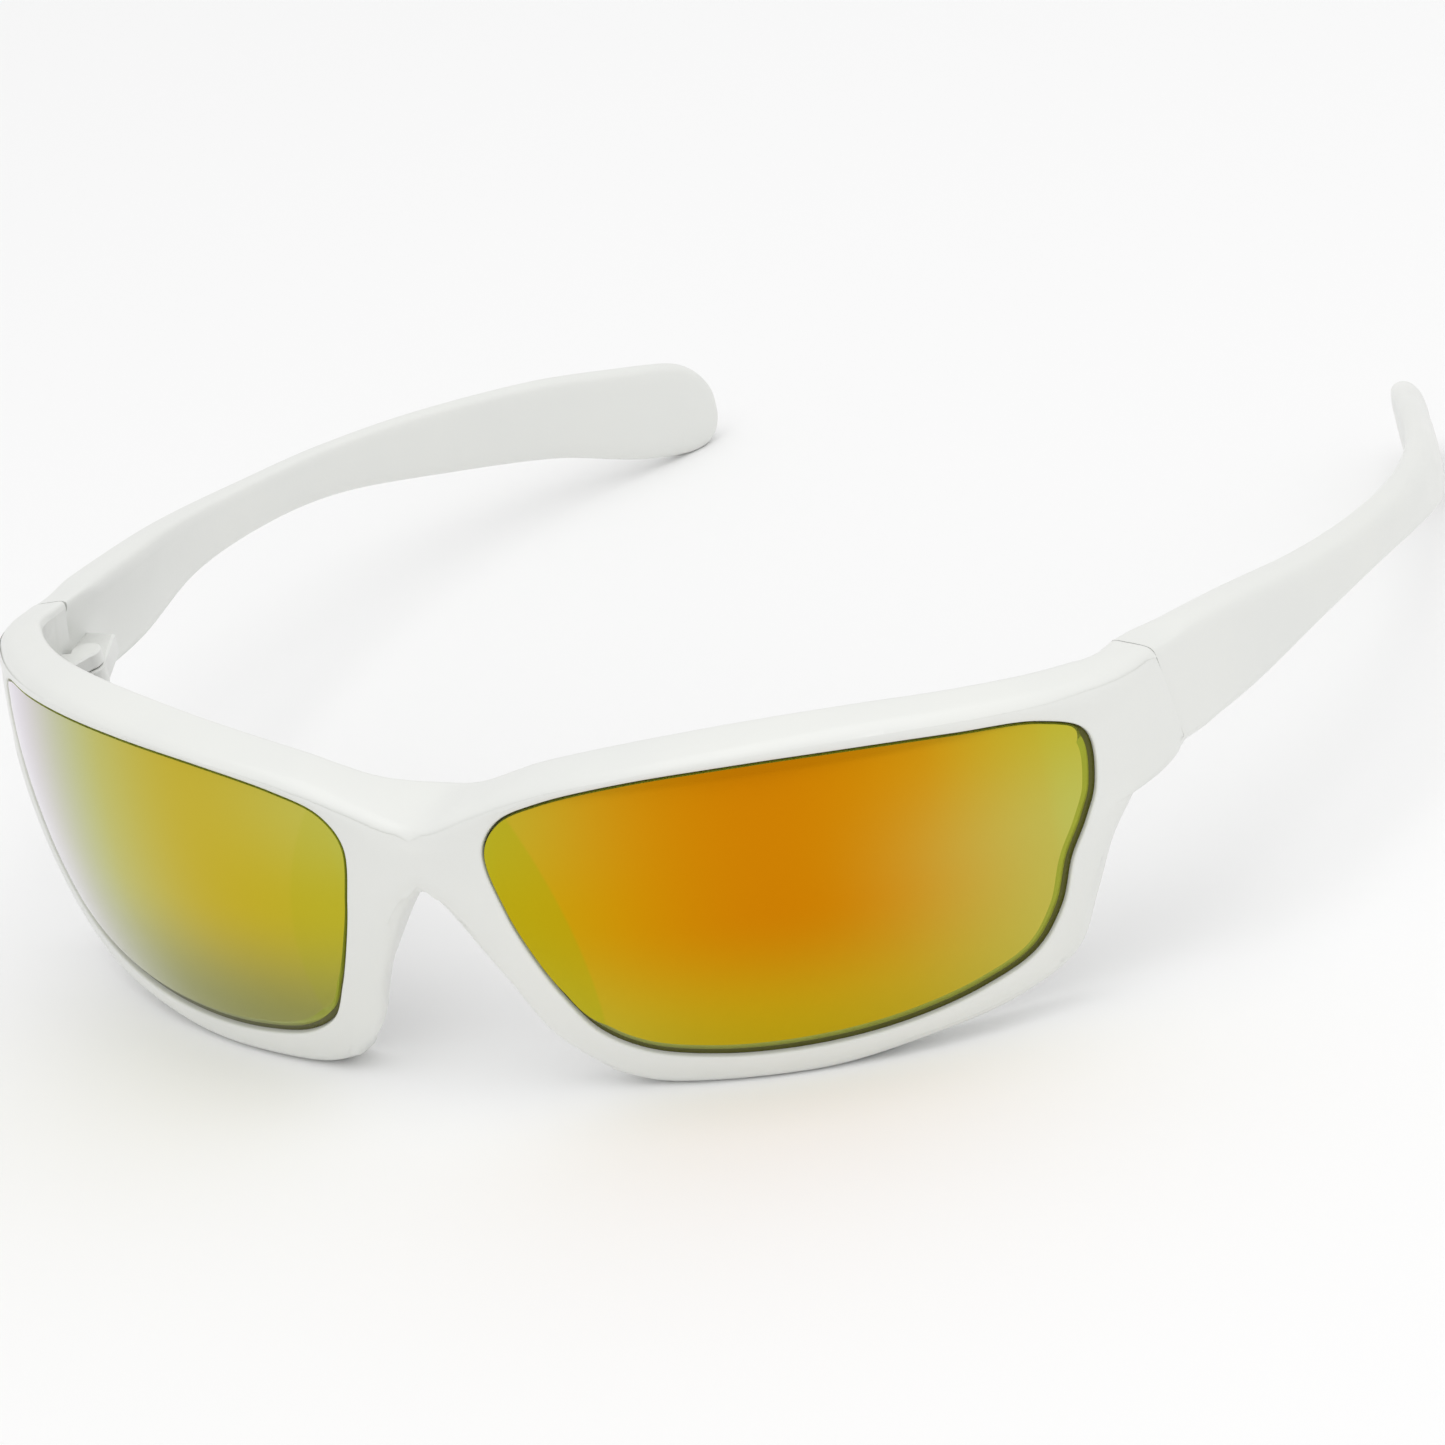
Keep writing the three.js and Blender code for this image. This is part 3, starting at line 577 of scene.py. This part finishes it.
def root_corners(at, thick, crease, top, bottom, height, hollow):
    """Corners of the section at the root, rounded like the edges of the end piece in front of it."""
    middle = (top + bottom) / 2
    rise = (top - crease) / thick
    return [
        at(0.01, crease - 0.75),
        at(0.3, crease - 0.16),
        at(1.2, crease + rise),
        at(thick - 1, crease + (thick - 1.1) * rise),
        at(thick - 0.25, top - 0.22),
        at(thick, top - 0.8),
        at(thick - hollow * 0.6, top - 0.3 * height),
        at(thick - hollow, middle),
        at(thick - 0.2 - hollow * 0.6, bottom + 0.2 * height),
        at(thick - 0.3, bottom + 0.2),
        at(thick / 2, bottom),
        at(0.9, bottom + 0.04),
        at(0.04, bottom + 0.6),
    ]


def temple_sections(back):
    """Rows of points round the temple at distances behind its root, with rounded edges."""
    past = np.maximum(0, (back - TEMPLE_LENGTH + TIP_ROUND) / TIP_ROUND)
    shrink = (1 - past**TIP_POWER) ** (1 / TIP_POWER)
    out, raw_top, raw_crease, raw_bottom, thick = temple_measures(back)
    slope = (temple_measures(back + 0.1)[0] - out) * 10 * np.minimum(1, back / SQUARE_LENGTH)
    outer = TEMPLE_OUTER_X + out
    middle = (raw_top + raw_bottom) / 2
    top = middle + (raw_top - middle) * shrink
    bottom = middle + (raw_bottom - middle) * shrink
    crease = middle + (raw_crease - middle) * shrink
    height = top - bottom
    lean = 1 - smoothstep(back, 0, LEAN_LENGTH)
    soft = smoothstep(back, 0, SQUARE_LENGTH)
    low_cut = (TEMPLE_LOW_CUT + (ROOT_LOW_CUT - TEMPLE_LOW_CUT) * lean) * height * soft
    hollow = INNER_RECESS * (1 - smoothstep(back, SQUARE_LENGTH, RECESS_LENGTH))
    length = np.hypot(1, slope)
    half = thick / 2
    squeeze = TIP_THICKNESS + (1 - TIP_THICKNESS) * shrink

    def at(distance, z):
        d = half + (distance - half) * squeeze
        x = outer - lean * sag(z) - d / length
        return np.stack([x, TEMPLE_START + back + d * slope / length, z], -1)

    def on_top(distance, share):
        """On the top face. At the root it is flat from the crease to the inner edge, like the end piece."""
        flat = distance / thick
        return at(distance, crease + (top - crease) * (flat + (share - flat) * soft))

    corners = [
        at(0, crease),
        on_top(0.4, 0.6),
        on_top(1.3, 0.92),
        on_top(half + 0.6, 1),
        at(thick - 0.2, top - 0.04 * soft * height),
        at(thick, top - (0.02 + 0.12 * soft) * height),
        at(thick - hollow * 0.6, top - 0.3 * height),
        at(thick - hollow, middle),
        at(thick - 0.2 - hollow * 0.6, bottom + 0.2 * height),
        at(thick - 0.2 - 0.5 * soft, bottom + 0.04 * soft * height),
        at(half, bottom),
        at(0.8, bottom + 0.2 * low_cut),
        at(0.2 * soft, bottom + low_cut),
    ]
    root = root_corners(at, thick, crease, top, bottom, height, hollow)
    corners = [r + (c - r) * soft[:, None] for c, r in zip(corners, root)]
    rows = []
    for k, corner in enumerate(corners):
        before, after = corners[k - 1], corners[(k + 1) % len(corners)]
        rows += rounded(before, corner, after, TEMPLE_ROUNDING[k] * TEMPLE_RADIUS)
    return np.stack(rows, 1)


def make_temple(name, mirror):
    body = TEMPLE_LENGTH - TIP_ROUND
    turn = np.linspace(0, math.pi / 2, TIP_SECTIONS + 1)[1:]
    tip = body + TIP_ROUND * TIP_REACH * np.sin(turn)
    back = np.concatenate([np.linspace(0, body, TEMPLE_SECTIONS), tip])
    rows = temple_sections(back)
    stations, count = rows.shape[:2]
    faces = band_faces(stations, count, closed_stations=False)
    faces.append(tuple(range(count)))
    faces.append(tuple((stations - 1) * count + r for r in reversed(range(count))))
    return make_object(name, rows, faces, mirror=mirror, sharp_angle=50)


# ---- Hinge.
LUG_MIDDLE = TONGUE_HEIGHT / 2 + LUG_PLAY + LUG_HEIGHT / 2
LUG_TOP = LUG_MIDDLE + LUG_HEIGHT / 2
AXIS_X = abs(frame["joints"][0]["pos_m"][0]) / MM
AXIS_Y = HINGE_LINE_Y - AXIS_SET_FORWARD


def knuckle_outline(side, inset):
    """Plan of a knuckle round the axis, with a web rooted in the wall, made smaller by inset."""
    wall = KNUCKLE_RADIUS + KNUCKLE_GAP
    angles = np.radians(np.linspace(38, 135 - 360, ARC_STEPS))
    radius = KNUCKLE_RADIUS - inset
    arc = np.stack([radius * np.cos(angles), side * radius * np.sin(angles)], -1)
    corners = [
        (wall - 1 + inset, side * (WEB_LENGTH - inset)),
        (wall + WEB_ROOT - inset, side * (WEB_LENGTH - inset)),
        (wall + WEB_ROOT - inset, side * (AXIS_SET_FORWARD + TEMPLE_GAP + WEB_SET_BACK + inset)),
    ]
    return np.vstack([corners, arc])


def make_knuckle(name, side, middle_z, height, mirror):
    """A knuckle with chamfered edges."""
    levels = [
        (-height / 2, KNUCKLE_CHAMFER),
        (-height / 2 + KNUCKLE_CHAMFER, 0),
        (height / 2 - KNUCKLE_CHAMFER, 0),
        (height / 2, KNUCKLE_CHAMFER),
    ]
    rows = []
    for z, inset in levels:
        outline = knuckle_outline(side, inset)
        if side > 0:
            outline = outline[::-1]
        level = np.full((len(outline), 1), HINGE_Z + middle_z + z)
        rows.append(np.hstack([outline + (AXIS_X, AXIS_Y), level]))
    rows = np.stack(rows)
    levels_count, count = rows.shape[:2]
    faces = [
        (a * count + b, a * count + (b + 1) % count, (a + 1) * count + (b + 1) % count, (a + 1) * count + b)
        for a in range(levels_count - 1)
        for b in range(count)
    ]
    faces.append(tuple(reversed(range(count))))
    faces.append(tuple((levels_count - 1) * count + b for b in range(count)))
    return make_object(name, rows, faces, mirror=mirror, sharp_angle=30)


def make_screw(name, mirror):
    """A cheese-head screw with a rounded rim and a slot, which goes up through the knuckles into the nut."""
    under_head = -LUG_TOP - LUG_PLAY
    head_low = under_head - SCREW_HEAD_HEIGHT
    end = TONGUE_HEIGHT / 2 + LUG_PLAY + NUT_HEIGHT + NUT_GAP + SCREW_CLEARANCE
    profile = [
        (SCREW_HUB, head_low),
        (SCREW_HEAD_RADIUS - SCREW_EDGE, head_low),
        (SCREW_HEAD_RADIUS - 0.04, head_low + SCREW_EDGE * 0.4),
        (SCREW_HEAD_RADIUS, head_low + SCREW_EDGE),
        (SCREW_HEAD_RADIUS, under_head - 0.05),
        (SCREW_HEAD_RADIUS - 0.05, under_head),
        (SCREW_RADIUS, under_head),
        (SCREW_RADIUS, end - SCREW_EDGE),
        (SCREW_RADIUS - SCREW_EDGE, end),
        (SCREW_HUB, end),
    ]
    turns = np.linspace(0, 2 * math.pi, ARC_STEPS, endpoint=False)
    rows = np.array([
        [(AXIS_X + r * math.cos(a), AXIS_Y + r * math.sin(a), HINGE_Z + z) for r, z in profile] for a in turns
    ])
    count = len(profile)
    faces = band_faces(len(turns), count, closed_rows=False)
    faces.append(tuple(s * count for s in reversed(range(len(turns)))))
    faces.append(tuple(s * count + count - 1 for s in range(len(turns))))
    piece = make_object(name, rows, faces, mirror=mirror, sharp_angle=35)
    centre = Vector(((-AXIS_X if mirror else AXIS_X), AXIS_Y + SHIFT_Y, HINGE_Z + head_low)) * MM
    cut_slot(piece, centre)
    return piece


def cut_slot(piece, centre):
    """Cuts the driver slot with a thin box turned out of line with the temple."""
    cutter_mesh = bpy.data.meshes.new("slot_cutter")
    shape = bmesh.new()
    bmesh.ops.create_cube(shape, size=1)
    size = Matrix.Diagonal((SCREW_HEAD_RADIUS * 3 * MM, SLOT_WIDTH * MM, SLOT_DEPTH * 2 * MM, 1))
    turn = Matrix.Rotation(math.radians(SLOT_TURN), 4, "Z")
    bmesh.ops.transform(shape, matrix=Matrix.Translation(centre) @ turn @ size, verts=shape.verts)
    shape.to_mesh(cutter_mesh)
    shape.free()
    cutter = bpy.data.objects.new("slot_cutter", cutter_mesh)
    bpy.context.scene.collection.objects.link(cutter)
    boolean = piece.modifiers.new("slot", "BOOLEAN")
    boolean.operation = "DIFFERENCE"
    boolean.object = cutter
    boolean.solver = "EXACT"
    bpy.context.view_layer.update()
    evaluated = piece.evaluated_get(bpy.context.evaluated_depsgraph_get())
    cut = bpy.data.meshes.new_from_object(evaluated)
    piece.modifiers.clear()
    piece.data = cut
    bpy.data.objects.remove(cutter)
    again = bmesh.new()
    again.from_mesh(cut)
    finish_mesh(again, cut, 35)


# ---- Materials.
def linear(red, green, blue):
    """A display colour given in 0-255 as linear light, with full alpha."""
    values = [c / 255 for c in (red, green, blue)]
    return tuple(c / 12.92 if c <= 0.04045 else ((c + 0.055) / 1.055) ** 2.4 for c in values) + (1.0,)


def new_material(name):
    material = bpy.data.materials.new(name)
    material.use_nodes = True
    nodes = material.node_tree.nodes
    nodes.clear()
    output = nodes.new("ShaderNodeOutputMaterial")
    shader = nodes.new("ShaderNodeBsdfPrincipled")
    material.node_tree.links.new(shader.outputs["BSDF"], output.inputs["Surface"])
    return material, nodes, material.node_tree.links, shader


def object_noise(nodes, links, scale, detail):
    coordinates = nodes.new("ShaderNodeTexCoord")
    noise = nodes.new("ShaderNodeTexNoise")
    noise.inputs["Scale"].default_value = scale
    noise.inputs["Detail"].default_value = detail
    links.new(coordinates.outputs["Object"], noise.inputs["Vector"])
    return noise.outputs["Fac"]


def noise_between(nodes, links, scale, detail, low, high):
    """Object-space noise mapped to a range of values."""
    spread = nodes.new("ShaderNodeMapRange")
    spread.inputs["From Min"].default_value = 0.3
    spread.inputs["From Max"].default_value = 0.7
    spread.inputs["To Min"].default_value = low
    spread.inputs["To Max"].default_value = high
    links.new(object_noise(nodes, links, scale, detail), spread.inputs["Value"])
    return spread.outputs["Result"]


def clouded(nodes, links, shader, scale, first, second):
    """A base colour that drifts faintly between two."""
    tint = nodes.new("ShaderNodeMix")
    tint.data_type = "RGBA"
    tint.inputs["A"].default_value = first
    tint.inputs["B"].default_value = second
    links.new(noise_between(nodes, links, scale, 3, 0, 1), tint.inputs["Factor"])
    links.new(tint.outputs["Result"], shader.inputs["Base Color"])


def add_bump(nodes, links, shader, scale, detail, distance, strength):
    bump = nodes.new("ShaderNodeBump")
    bump.inputs["Strength"].default_value = strength
    bump.inputs["Distance"].default_value = distance
    links.new(object_noise(nodes, links, scale, detail), bump.inputs["Height"])
    links.new(bump.outputs["Normal"], shader.inputs["Normal"])


def moulded_plastic(name):
    """Warm off-white moulded nylon: faint clouding, a satin gloss that varies, and a fine mould grain."""
    material, nodes, links, shader = new_material(name)
    clouded(nodes, links, shader, 55, (0.79, 0.80, 0.775, 1), (0.815, 0.822, 0.79, 1))
    links.new(noise_between(nodes, links, 240, 4, 0.3, 0.4), shader.inputs["Roughness"])
    shader.inputs["IOR"].default_value = 1.5
    shader.inputs["Coat Weight"].default_value = 0.12
    shader.inputs["Coat Roughness"].default_value = 0.18
    add_bump(nodes, links, shader, 2600, 3, 0.00002, 0.35)
    return material


def colour_ramp(nodes, stops):
    ramp = nodes.new("ShaderNodeValToRGB")
    ramp.color_ramp.interpolation = "B_SPLINE"
    elements = ramp.color_ramp.elements
    while len(elements) > 1:
        elements.remove(elements[-1])
    for k, (position, colour) in enumerate(stops):
        element = elements[0] if k == 0 else elements.new(position)
        element.position = position
        element.color = linear(*colour)
    return ramp


def map_range(nodes, links, source, low, high, smooth=False):
    """A value that runs from 0 to 1 while source runs from low to high, in metres."""
    spread = nodes.new("ShaderNodeMapRange")
    spread.interpolation_type = "SMOOTHSTEP" if smooth else "LINEAR"
    spread.inputs["From Min"].default_value = low
    spread.inputs["From Max"].default_value = high
    links.new(source, spread.inputs["Value"])
    return spread.outputs["Result"]


def blend_colours(nodes, links, first, second, share):
    blend = nodes.new("ShaderNodeMix")
    blend.data_type = "RGBA"
    links.new(first, blend.inputs["A"])
    links.new(second, blend.inputs["B"])
    links.new(share, blend.inputs["Factor"])
    return blend.outputs["Result"]


def mirror_coating(name, side, ramps, painted_flange_shade):
    """Mirror coating whose colour drifts across the lens. Its colours are the coating's own reflection
    colours, but where each one falls, and how the two lenses differ, is painted reflection: the shift of
    colour with the angle of view is fixed in place. The three ramps give the colours from nose to temple at
    the bottom, in the middle and at the top. The last argument says how strongly a painted shade of the nose
    flange, as if seen through the lens, is blended into the colour beside the nose."""
    material, nodes, links, shader = new_material(name)
    coordinates = nodes.new("ShaderNodeTexCoord")
    split = nodes.new("ShaderNodeSeparateXYZ")
    links.new(coordinates.outputs["Object"], split.inputs["Vector"])
    nasal, temporal = side * LENS_NASAL_X * MM, side * LENS_TEMPORAL_X * MM
    across = map_range(nodes, links, split.outputs["X"], nasal, temporal)
    wander = nodes.new("ShaderNodeMath")
    wander.operation = "MULTIPLY_ADD"
    wander.inputs[1].default_value = COLOUR_WANDER
    links.new(object_noise(nodes, links, 30, 2), wander.inputs[0])
    links.new(across, wander.inputs[2])
    low, middle, high = (colour_ramp(nodes, stops) for stops in ramps)
    for ramp in (low, middle, high):
        links.new(wander.outputs["Value"], ramp.inputs["Fac"])
    rise = map_range(nodes, links, split.outputs["Z"], LOW_HEIGHT * MM, MIDDLE_HEIGHT * MM, smooth=True)
    climb = map_range(nodes, links, split.outputs["Z"], MIDDLE_HEIGHT * MM, HIGH_HEIGHT * MM, smooth=True)
    lower = blend_colours(nodes, links, low.outputs["Color"], middle.outputs["Color"], rise)
    colour = blend_colours(nodes, links, lower, high.outputs["Color"], climb)
    # Painted shade: a blurred disc round the nose flange, as if seen through the lens, blended over the
    # colour.
    flat = nodes.new("ShaderNodeCombineXYZ")
    links.new(split.outputs["X"], flat.inputs["X"])
    links.new(split.outputs["Z"], flat.inputs["Z"])
    distance = nodes.new("ShaderNodeVectorMath")
    distance.operation = "DISTANCE"
    distance.inputs[1].default_value = (side * FLANGE_X * MM, 0, FLANGE_Z * MM)
    links.new(flat.outputs["Vector"], distance.inputs[0])
    reach = FLANGE_RADIUS * MM
    outside = map_range(nodes, links, distance.outputs["Value"], reach - FLANGE_BLUR * MM, reach, smooth=True)
    inside = nodes.new("ShaderNodeMath")
    inside.operation = "MULTIPLY_ADD"
    inside.inputs[1].default_value = -painted_flange_shade
    inside.inputs[2].default_value = painted_flange_shade
    links.new(outside, inside.inputs[0])
    shade = nodes.new("ShaderNodeRGB")
    shade.outputs["Color"].default_value = linear(*PAINTED_FLANGE_SHADE_COLOUR)
    with_painted_shade = blend_colours(nodes, links, colour, shade.outputs["Color"], inside.outputs["Value"])
    links.new(with_painted_shade, shader.inputs["Base Color"])
    shader.inputs["Metallic"].default_value = 0.97
    links.new(noise_between(nodes, links, 400, 3, 0.07, 0.12), shader.inputs["Roughness"])
    return material


def plain_gloss(name, colour, metallic, low, high, scale=500, bump=0.0):
    """A glossy or metal surface whose gloss varies a little and whose colour is faintly clouded."""
    material, nodes, links, shader = new_material(name)
    clouded(nodes, links, shader, scale, tuple(c * 0.93 for c in colour[:3]) + (1,), colour)
    shader.inputs["Metallic"].default_value = metallic
    links.new(noise_between(nodes, links, scale * 2, 4, low, high), shader.inputs["Roughness"])
    if bump:
        add_bump(nodes, links, shader, scale * 4, 3, 0.00001, bump)
    return material


LENS_NASAL_X = 8.0
LENS_TEMPORAL_X = 66.0
LOW_HEIGHT, MIDDLE_HEIGHT, HIGH_HEIGHT = 5.0, 21.0, 34.0
# The painted shade of the nose flange, as if seen through the lens, is a disc, seen from the front.
FLANGE_X, FLANGE_Z, FLANGE_RADIUS, FLANGE_BLUR = -18.2, 13.5, 36.0, 0.5
PAINTED_FLANGE_SHADE_COLOUR = (166, 172, 14)
LEFT_PAINTED_FLANGE_SHADE, RIGHT_PAINTED_FLANGE_SHADE = 0.4, 0.15
COLOUR_WANDER = 0.03  # how far the coating's colours stray across the lens
# Colours of the mirror coating, in round numbers. They are its reflection colours, placed where one view
# # showed them, so their spread over each lens is partly painted reflection.
OLIVE = (155, 155, 85)
YELLOW_GREEN = (190, 180, 50)
GOLD = (200, 170, 15)
AMBER = (210, 145, 0)
ORANGE = (205, 120, 0)
LIME = (190, 190, 90)
PALE_GREEN = (185, 190, 150)
VIOLET = (210, 200, 215)

frame_plastic = moulded_plastic("frame_plastic")
# Each lens has its own ramps. The difference between them is painted reflection: the coating's change of
# colour with the angle of view, fixed on each lens.
left_painted_reflection_coating = mirror_coating(
    "mirror_coating_left",
    1,
    [
        [(0.05, YELLOW_GREEN), (0.35, GOLD), (0.7, GOLD), (0.95, LIME)],
        [(0.05, GOLD), (0.3, AMBER), (0.55, ORANGE), (0.75, AMBER), (0.95, LIME)],
        [(0.05, YELLOW_GREEN), (0.3, AMBER), (0.55, ORANGE), (0.8, AMBER), (0.95, YELLOW_GREEN)],
    ],
    LEFT_PAINTED_FLANGE_SHADE,
)
right_painted_reflection_coating = mirror_coating(
    "mirror_coating_right",
    -1,
    [
        [(0.05, OLIVE), (0.5, OLIVE), (0.7, PALE_GREEN), (0.9, VIOLET)],
        [(0.05, YELLOW_GREEN), (0.35, GOLD), (0.6, LIME), (0.75, PALE_GREEN), (0.9, VIOLET)],
        [(0.05, LIME), (0.35, GOLD), (0.6, LIME), (0.75, PALE_GREEN), (0.9, VIOLET)],
    ],
    RIGHT_PAINTED_FLANGE_SHADE,
)
lens_band = plain_gloss("lens_bevel", linear(160, 166, 46), 0.8, 0.1, 0.18)
# The lens's steep edge and ledge: dark olive, painted shade of the gap between the lens and the frame.
lens_edge_painted_shade = plain_gloss("lens_edge_painted_shade", linear(82, 82, 6), 0.3, 0.12, 0.2)
lens_smoke = plain_gloss("lens_smoke", linear(46, 42, 38), 0.0, 0.05, 0.1)
screw_steel = plain_gloss("screw_steel", (0.62, 0.63, 0.65, 1), 1.0, 0.22, 0.38, 900, 0.2)
nut_brass = plain_gloss("nut_brass", (0.72, 0.53, 0.26, 1), 1.0, 0.25, 0.4, 900, 0.2)


def dress(piece, body, slot, materials, *replaced):
    for material in materials:
        piece.data.materials.append(material)
    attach(piece, body)
    if replaced:
        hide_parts(*replaced)


front = make_front()
dress(front, "front", "frame_plastic", [frame_plastic], "front_frame")
for side, mirror in (("left", False), ("right", True)):
    coating = right_painted_reflection_coating if mirror else left_painted_reflection_coating
    lens = make_lens(f"mirror_lens_{side}", mirror)
    dress(lens, "front", "lens_mirror", [coating, lens_band, lens_edge_painted_shade, lens_smoke], f"lens_{side}")
    arm = make_temple(f"temple_arm_{side}", mirror)
    dress(arm, f"temple_{side}", "frame_plastic", [frame_plastic], f"temple_{side}")
    tongue = make_knuckle(f"temple_tongue_{side}", 1, 0, TONGUE_HEIGHT, mirror)
    dress(tongue, f"temple_{side}", "frame_plastic", [frame_plastic])
    for level, middle_z in (("upper", LUG_MIDDLE), ("lower", -LUG_MIDDLE)):
        lug = make_knuckle(f"front_lug_{level}_{side}", -1, middle_z, LUG_HEIGHT, mirror)
        dress(lug, "front", "frame_plastic", [frame_plastic])
    screw = make_screw(f"slotted_screw_{side}", mirror)
    dress(screw, "front", "screw_steel", [screw_steel], f"hinge_screw_{side}")
    nut = frame["nodes"][f"hinge_nut_{side}"]
    nut.data.materials.clear()
    nut.data.materials.append(nut_brass)

# ---- Floor, light and camera.
FLOOR_SIZE = 3.0
FLOOR_DROP = 0.0001  # keeps the floor clear of the faces that stand on it
floor_mesh = bpy.data.meshes.new("floor")
floor_shape = bmesh.new()
bmesh.ops.create_grid(floor_shape, x_segments=1, y_segments=1, size=FLOOR_SIZE / 2)
floor_shape.to_mesh(floor_mesh)
floor_shape.free()
floor = bpy.data.objects.new("floor", floor_mesh)
floor.location.z = -FLOOR_DROP
bpy.context.scene.collection.objects.link(floor)
floor_material, _, _, floor_shader = new_material("floor_white")
floor_shader.inputs["Base Color"].default_value = (0.93, 0.93, 0.93, 1)
floor_shader.inputs["Roughness"].default_value = 0.9
floor_mesh.materials.append(floor_material)

world = bpy.data.worlds.new("soft_white")
world.use_nodes = True
background = world.node_tree.nodes["Background"]
background.inputs["Color"].default_value = (1, 1, 1, 1)
background.inputs["Strength"].default_value = 0.78
bpy.context.scene.world = world


def add_area(name, azimuth, elevation, distance, size, power):
    """A square softbox that faces the object from a direction in degrees, azimuth from -Y towards +X."""
    light = bpy.data.lights.new(name, "AREA")
    light.size = size
    light.energy = power
    lamp = bpy.data.objects.new(name, light)
    a, e = math.radians(azimuth), math.radians(elevation)
    way = Vector((math.sin(a) * math.cos(e), -math.cos(a) * math.cos(e), math.sin(e)))
    lamp.location = way * distance
    lamp.rotation_euler = way.to_track_quat("Z", "Y").to_euler()
    bpy.context.scene.collection.objects.link(lamp)


add_area("softbox_top", 20, 78, 1.0, 0.9, 3.0)
add_area("softbox_side", 80, 42, 1.1, 0.9, 0.8)

# A scratch program fitted these to the photograph.
CAMERA_AZIMUTH = 34.995
CAMERA_ELEVATION = 26.438
CAMERA_ROLL = -14.926
CAMERA_DISTANCE = 1.3
LENS_MM = 305.89
CAMERA_TARGET = Vector((0, 0.05955 + SHIFT_Y * MM, 0.0206))
ACROSS, UPWARD = 0.002737, -0.009466  # where the view's middle lies beside the target

a, e, roll = (math.radians(v) for v in (CAMERA_AZIMUTH, CAMERA_ELEVATION, CAMERA_ROLL))
back_way = Vector((math.sin(a) * math.cos(e), -math.cos(a) * math.cos(e), math.sin(e)))
level_right = Vector((math.cos(a), math.sin(a), 0))
level_up = back_way.cross(level_right)
right_way = level_right * math.cos(roll) + level_up * math.sin(roll)
up_way = level_up * math.cos(roll) - level_right * math.sin(roll)
camera_data = bpy.data.cameras.new("camera")
camera_data.sensor_width = 36
camera_data.lens = LENS_MM
camera_data.clip_end = 10
camera = bpy.data.objects.new("camera", camera_data)
at = CAMERA_TARGET + right_way * ACROSS + up_way * UPWARD + back_way * CAMERA_DISTANCE
camera.matrix_world = Matrix.Translation(at) @ Matrix((right_way, up_way, back_way)).transposed().to_4x4()
bpy.context.scene.collection.objects.link(camera)
bpy.context.scene.camera = camera
bpy.context.scene.view_settings.view_transform = "Standard"
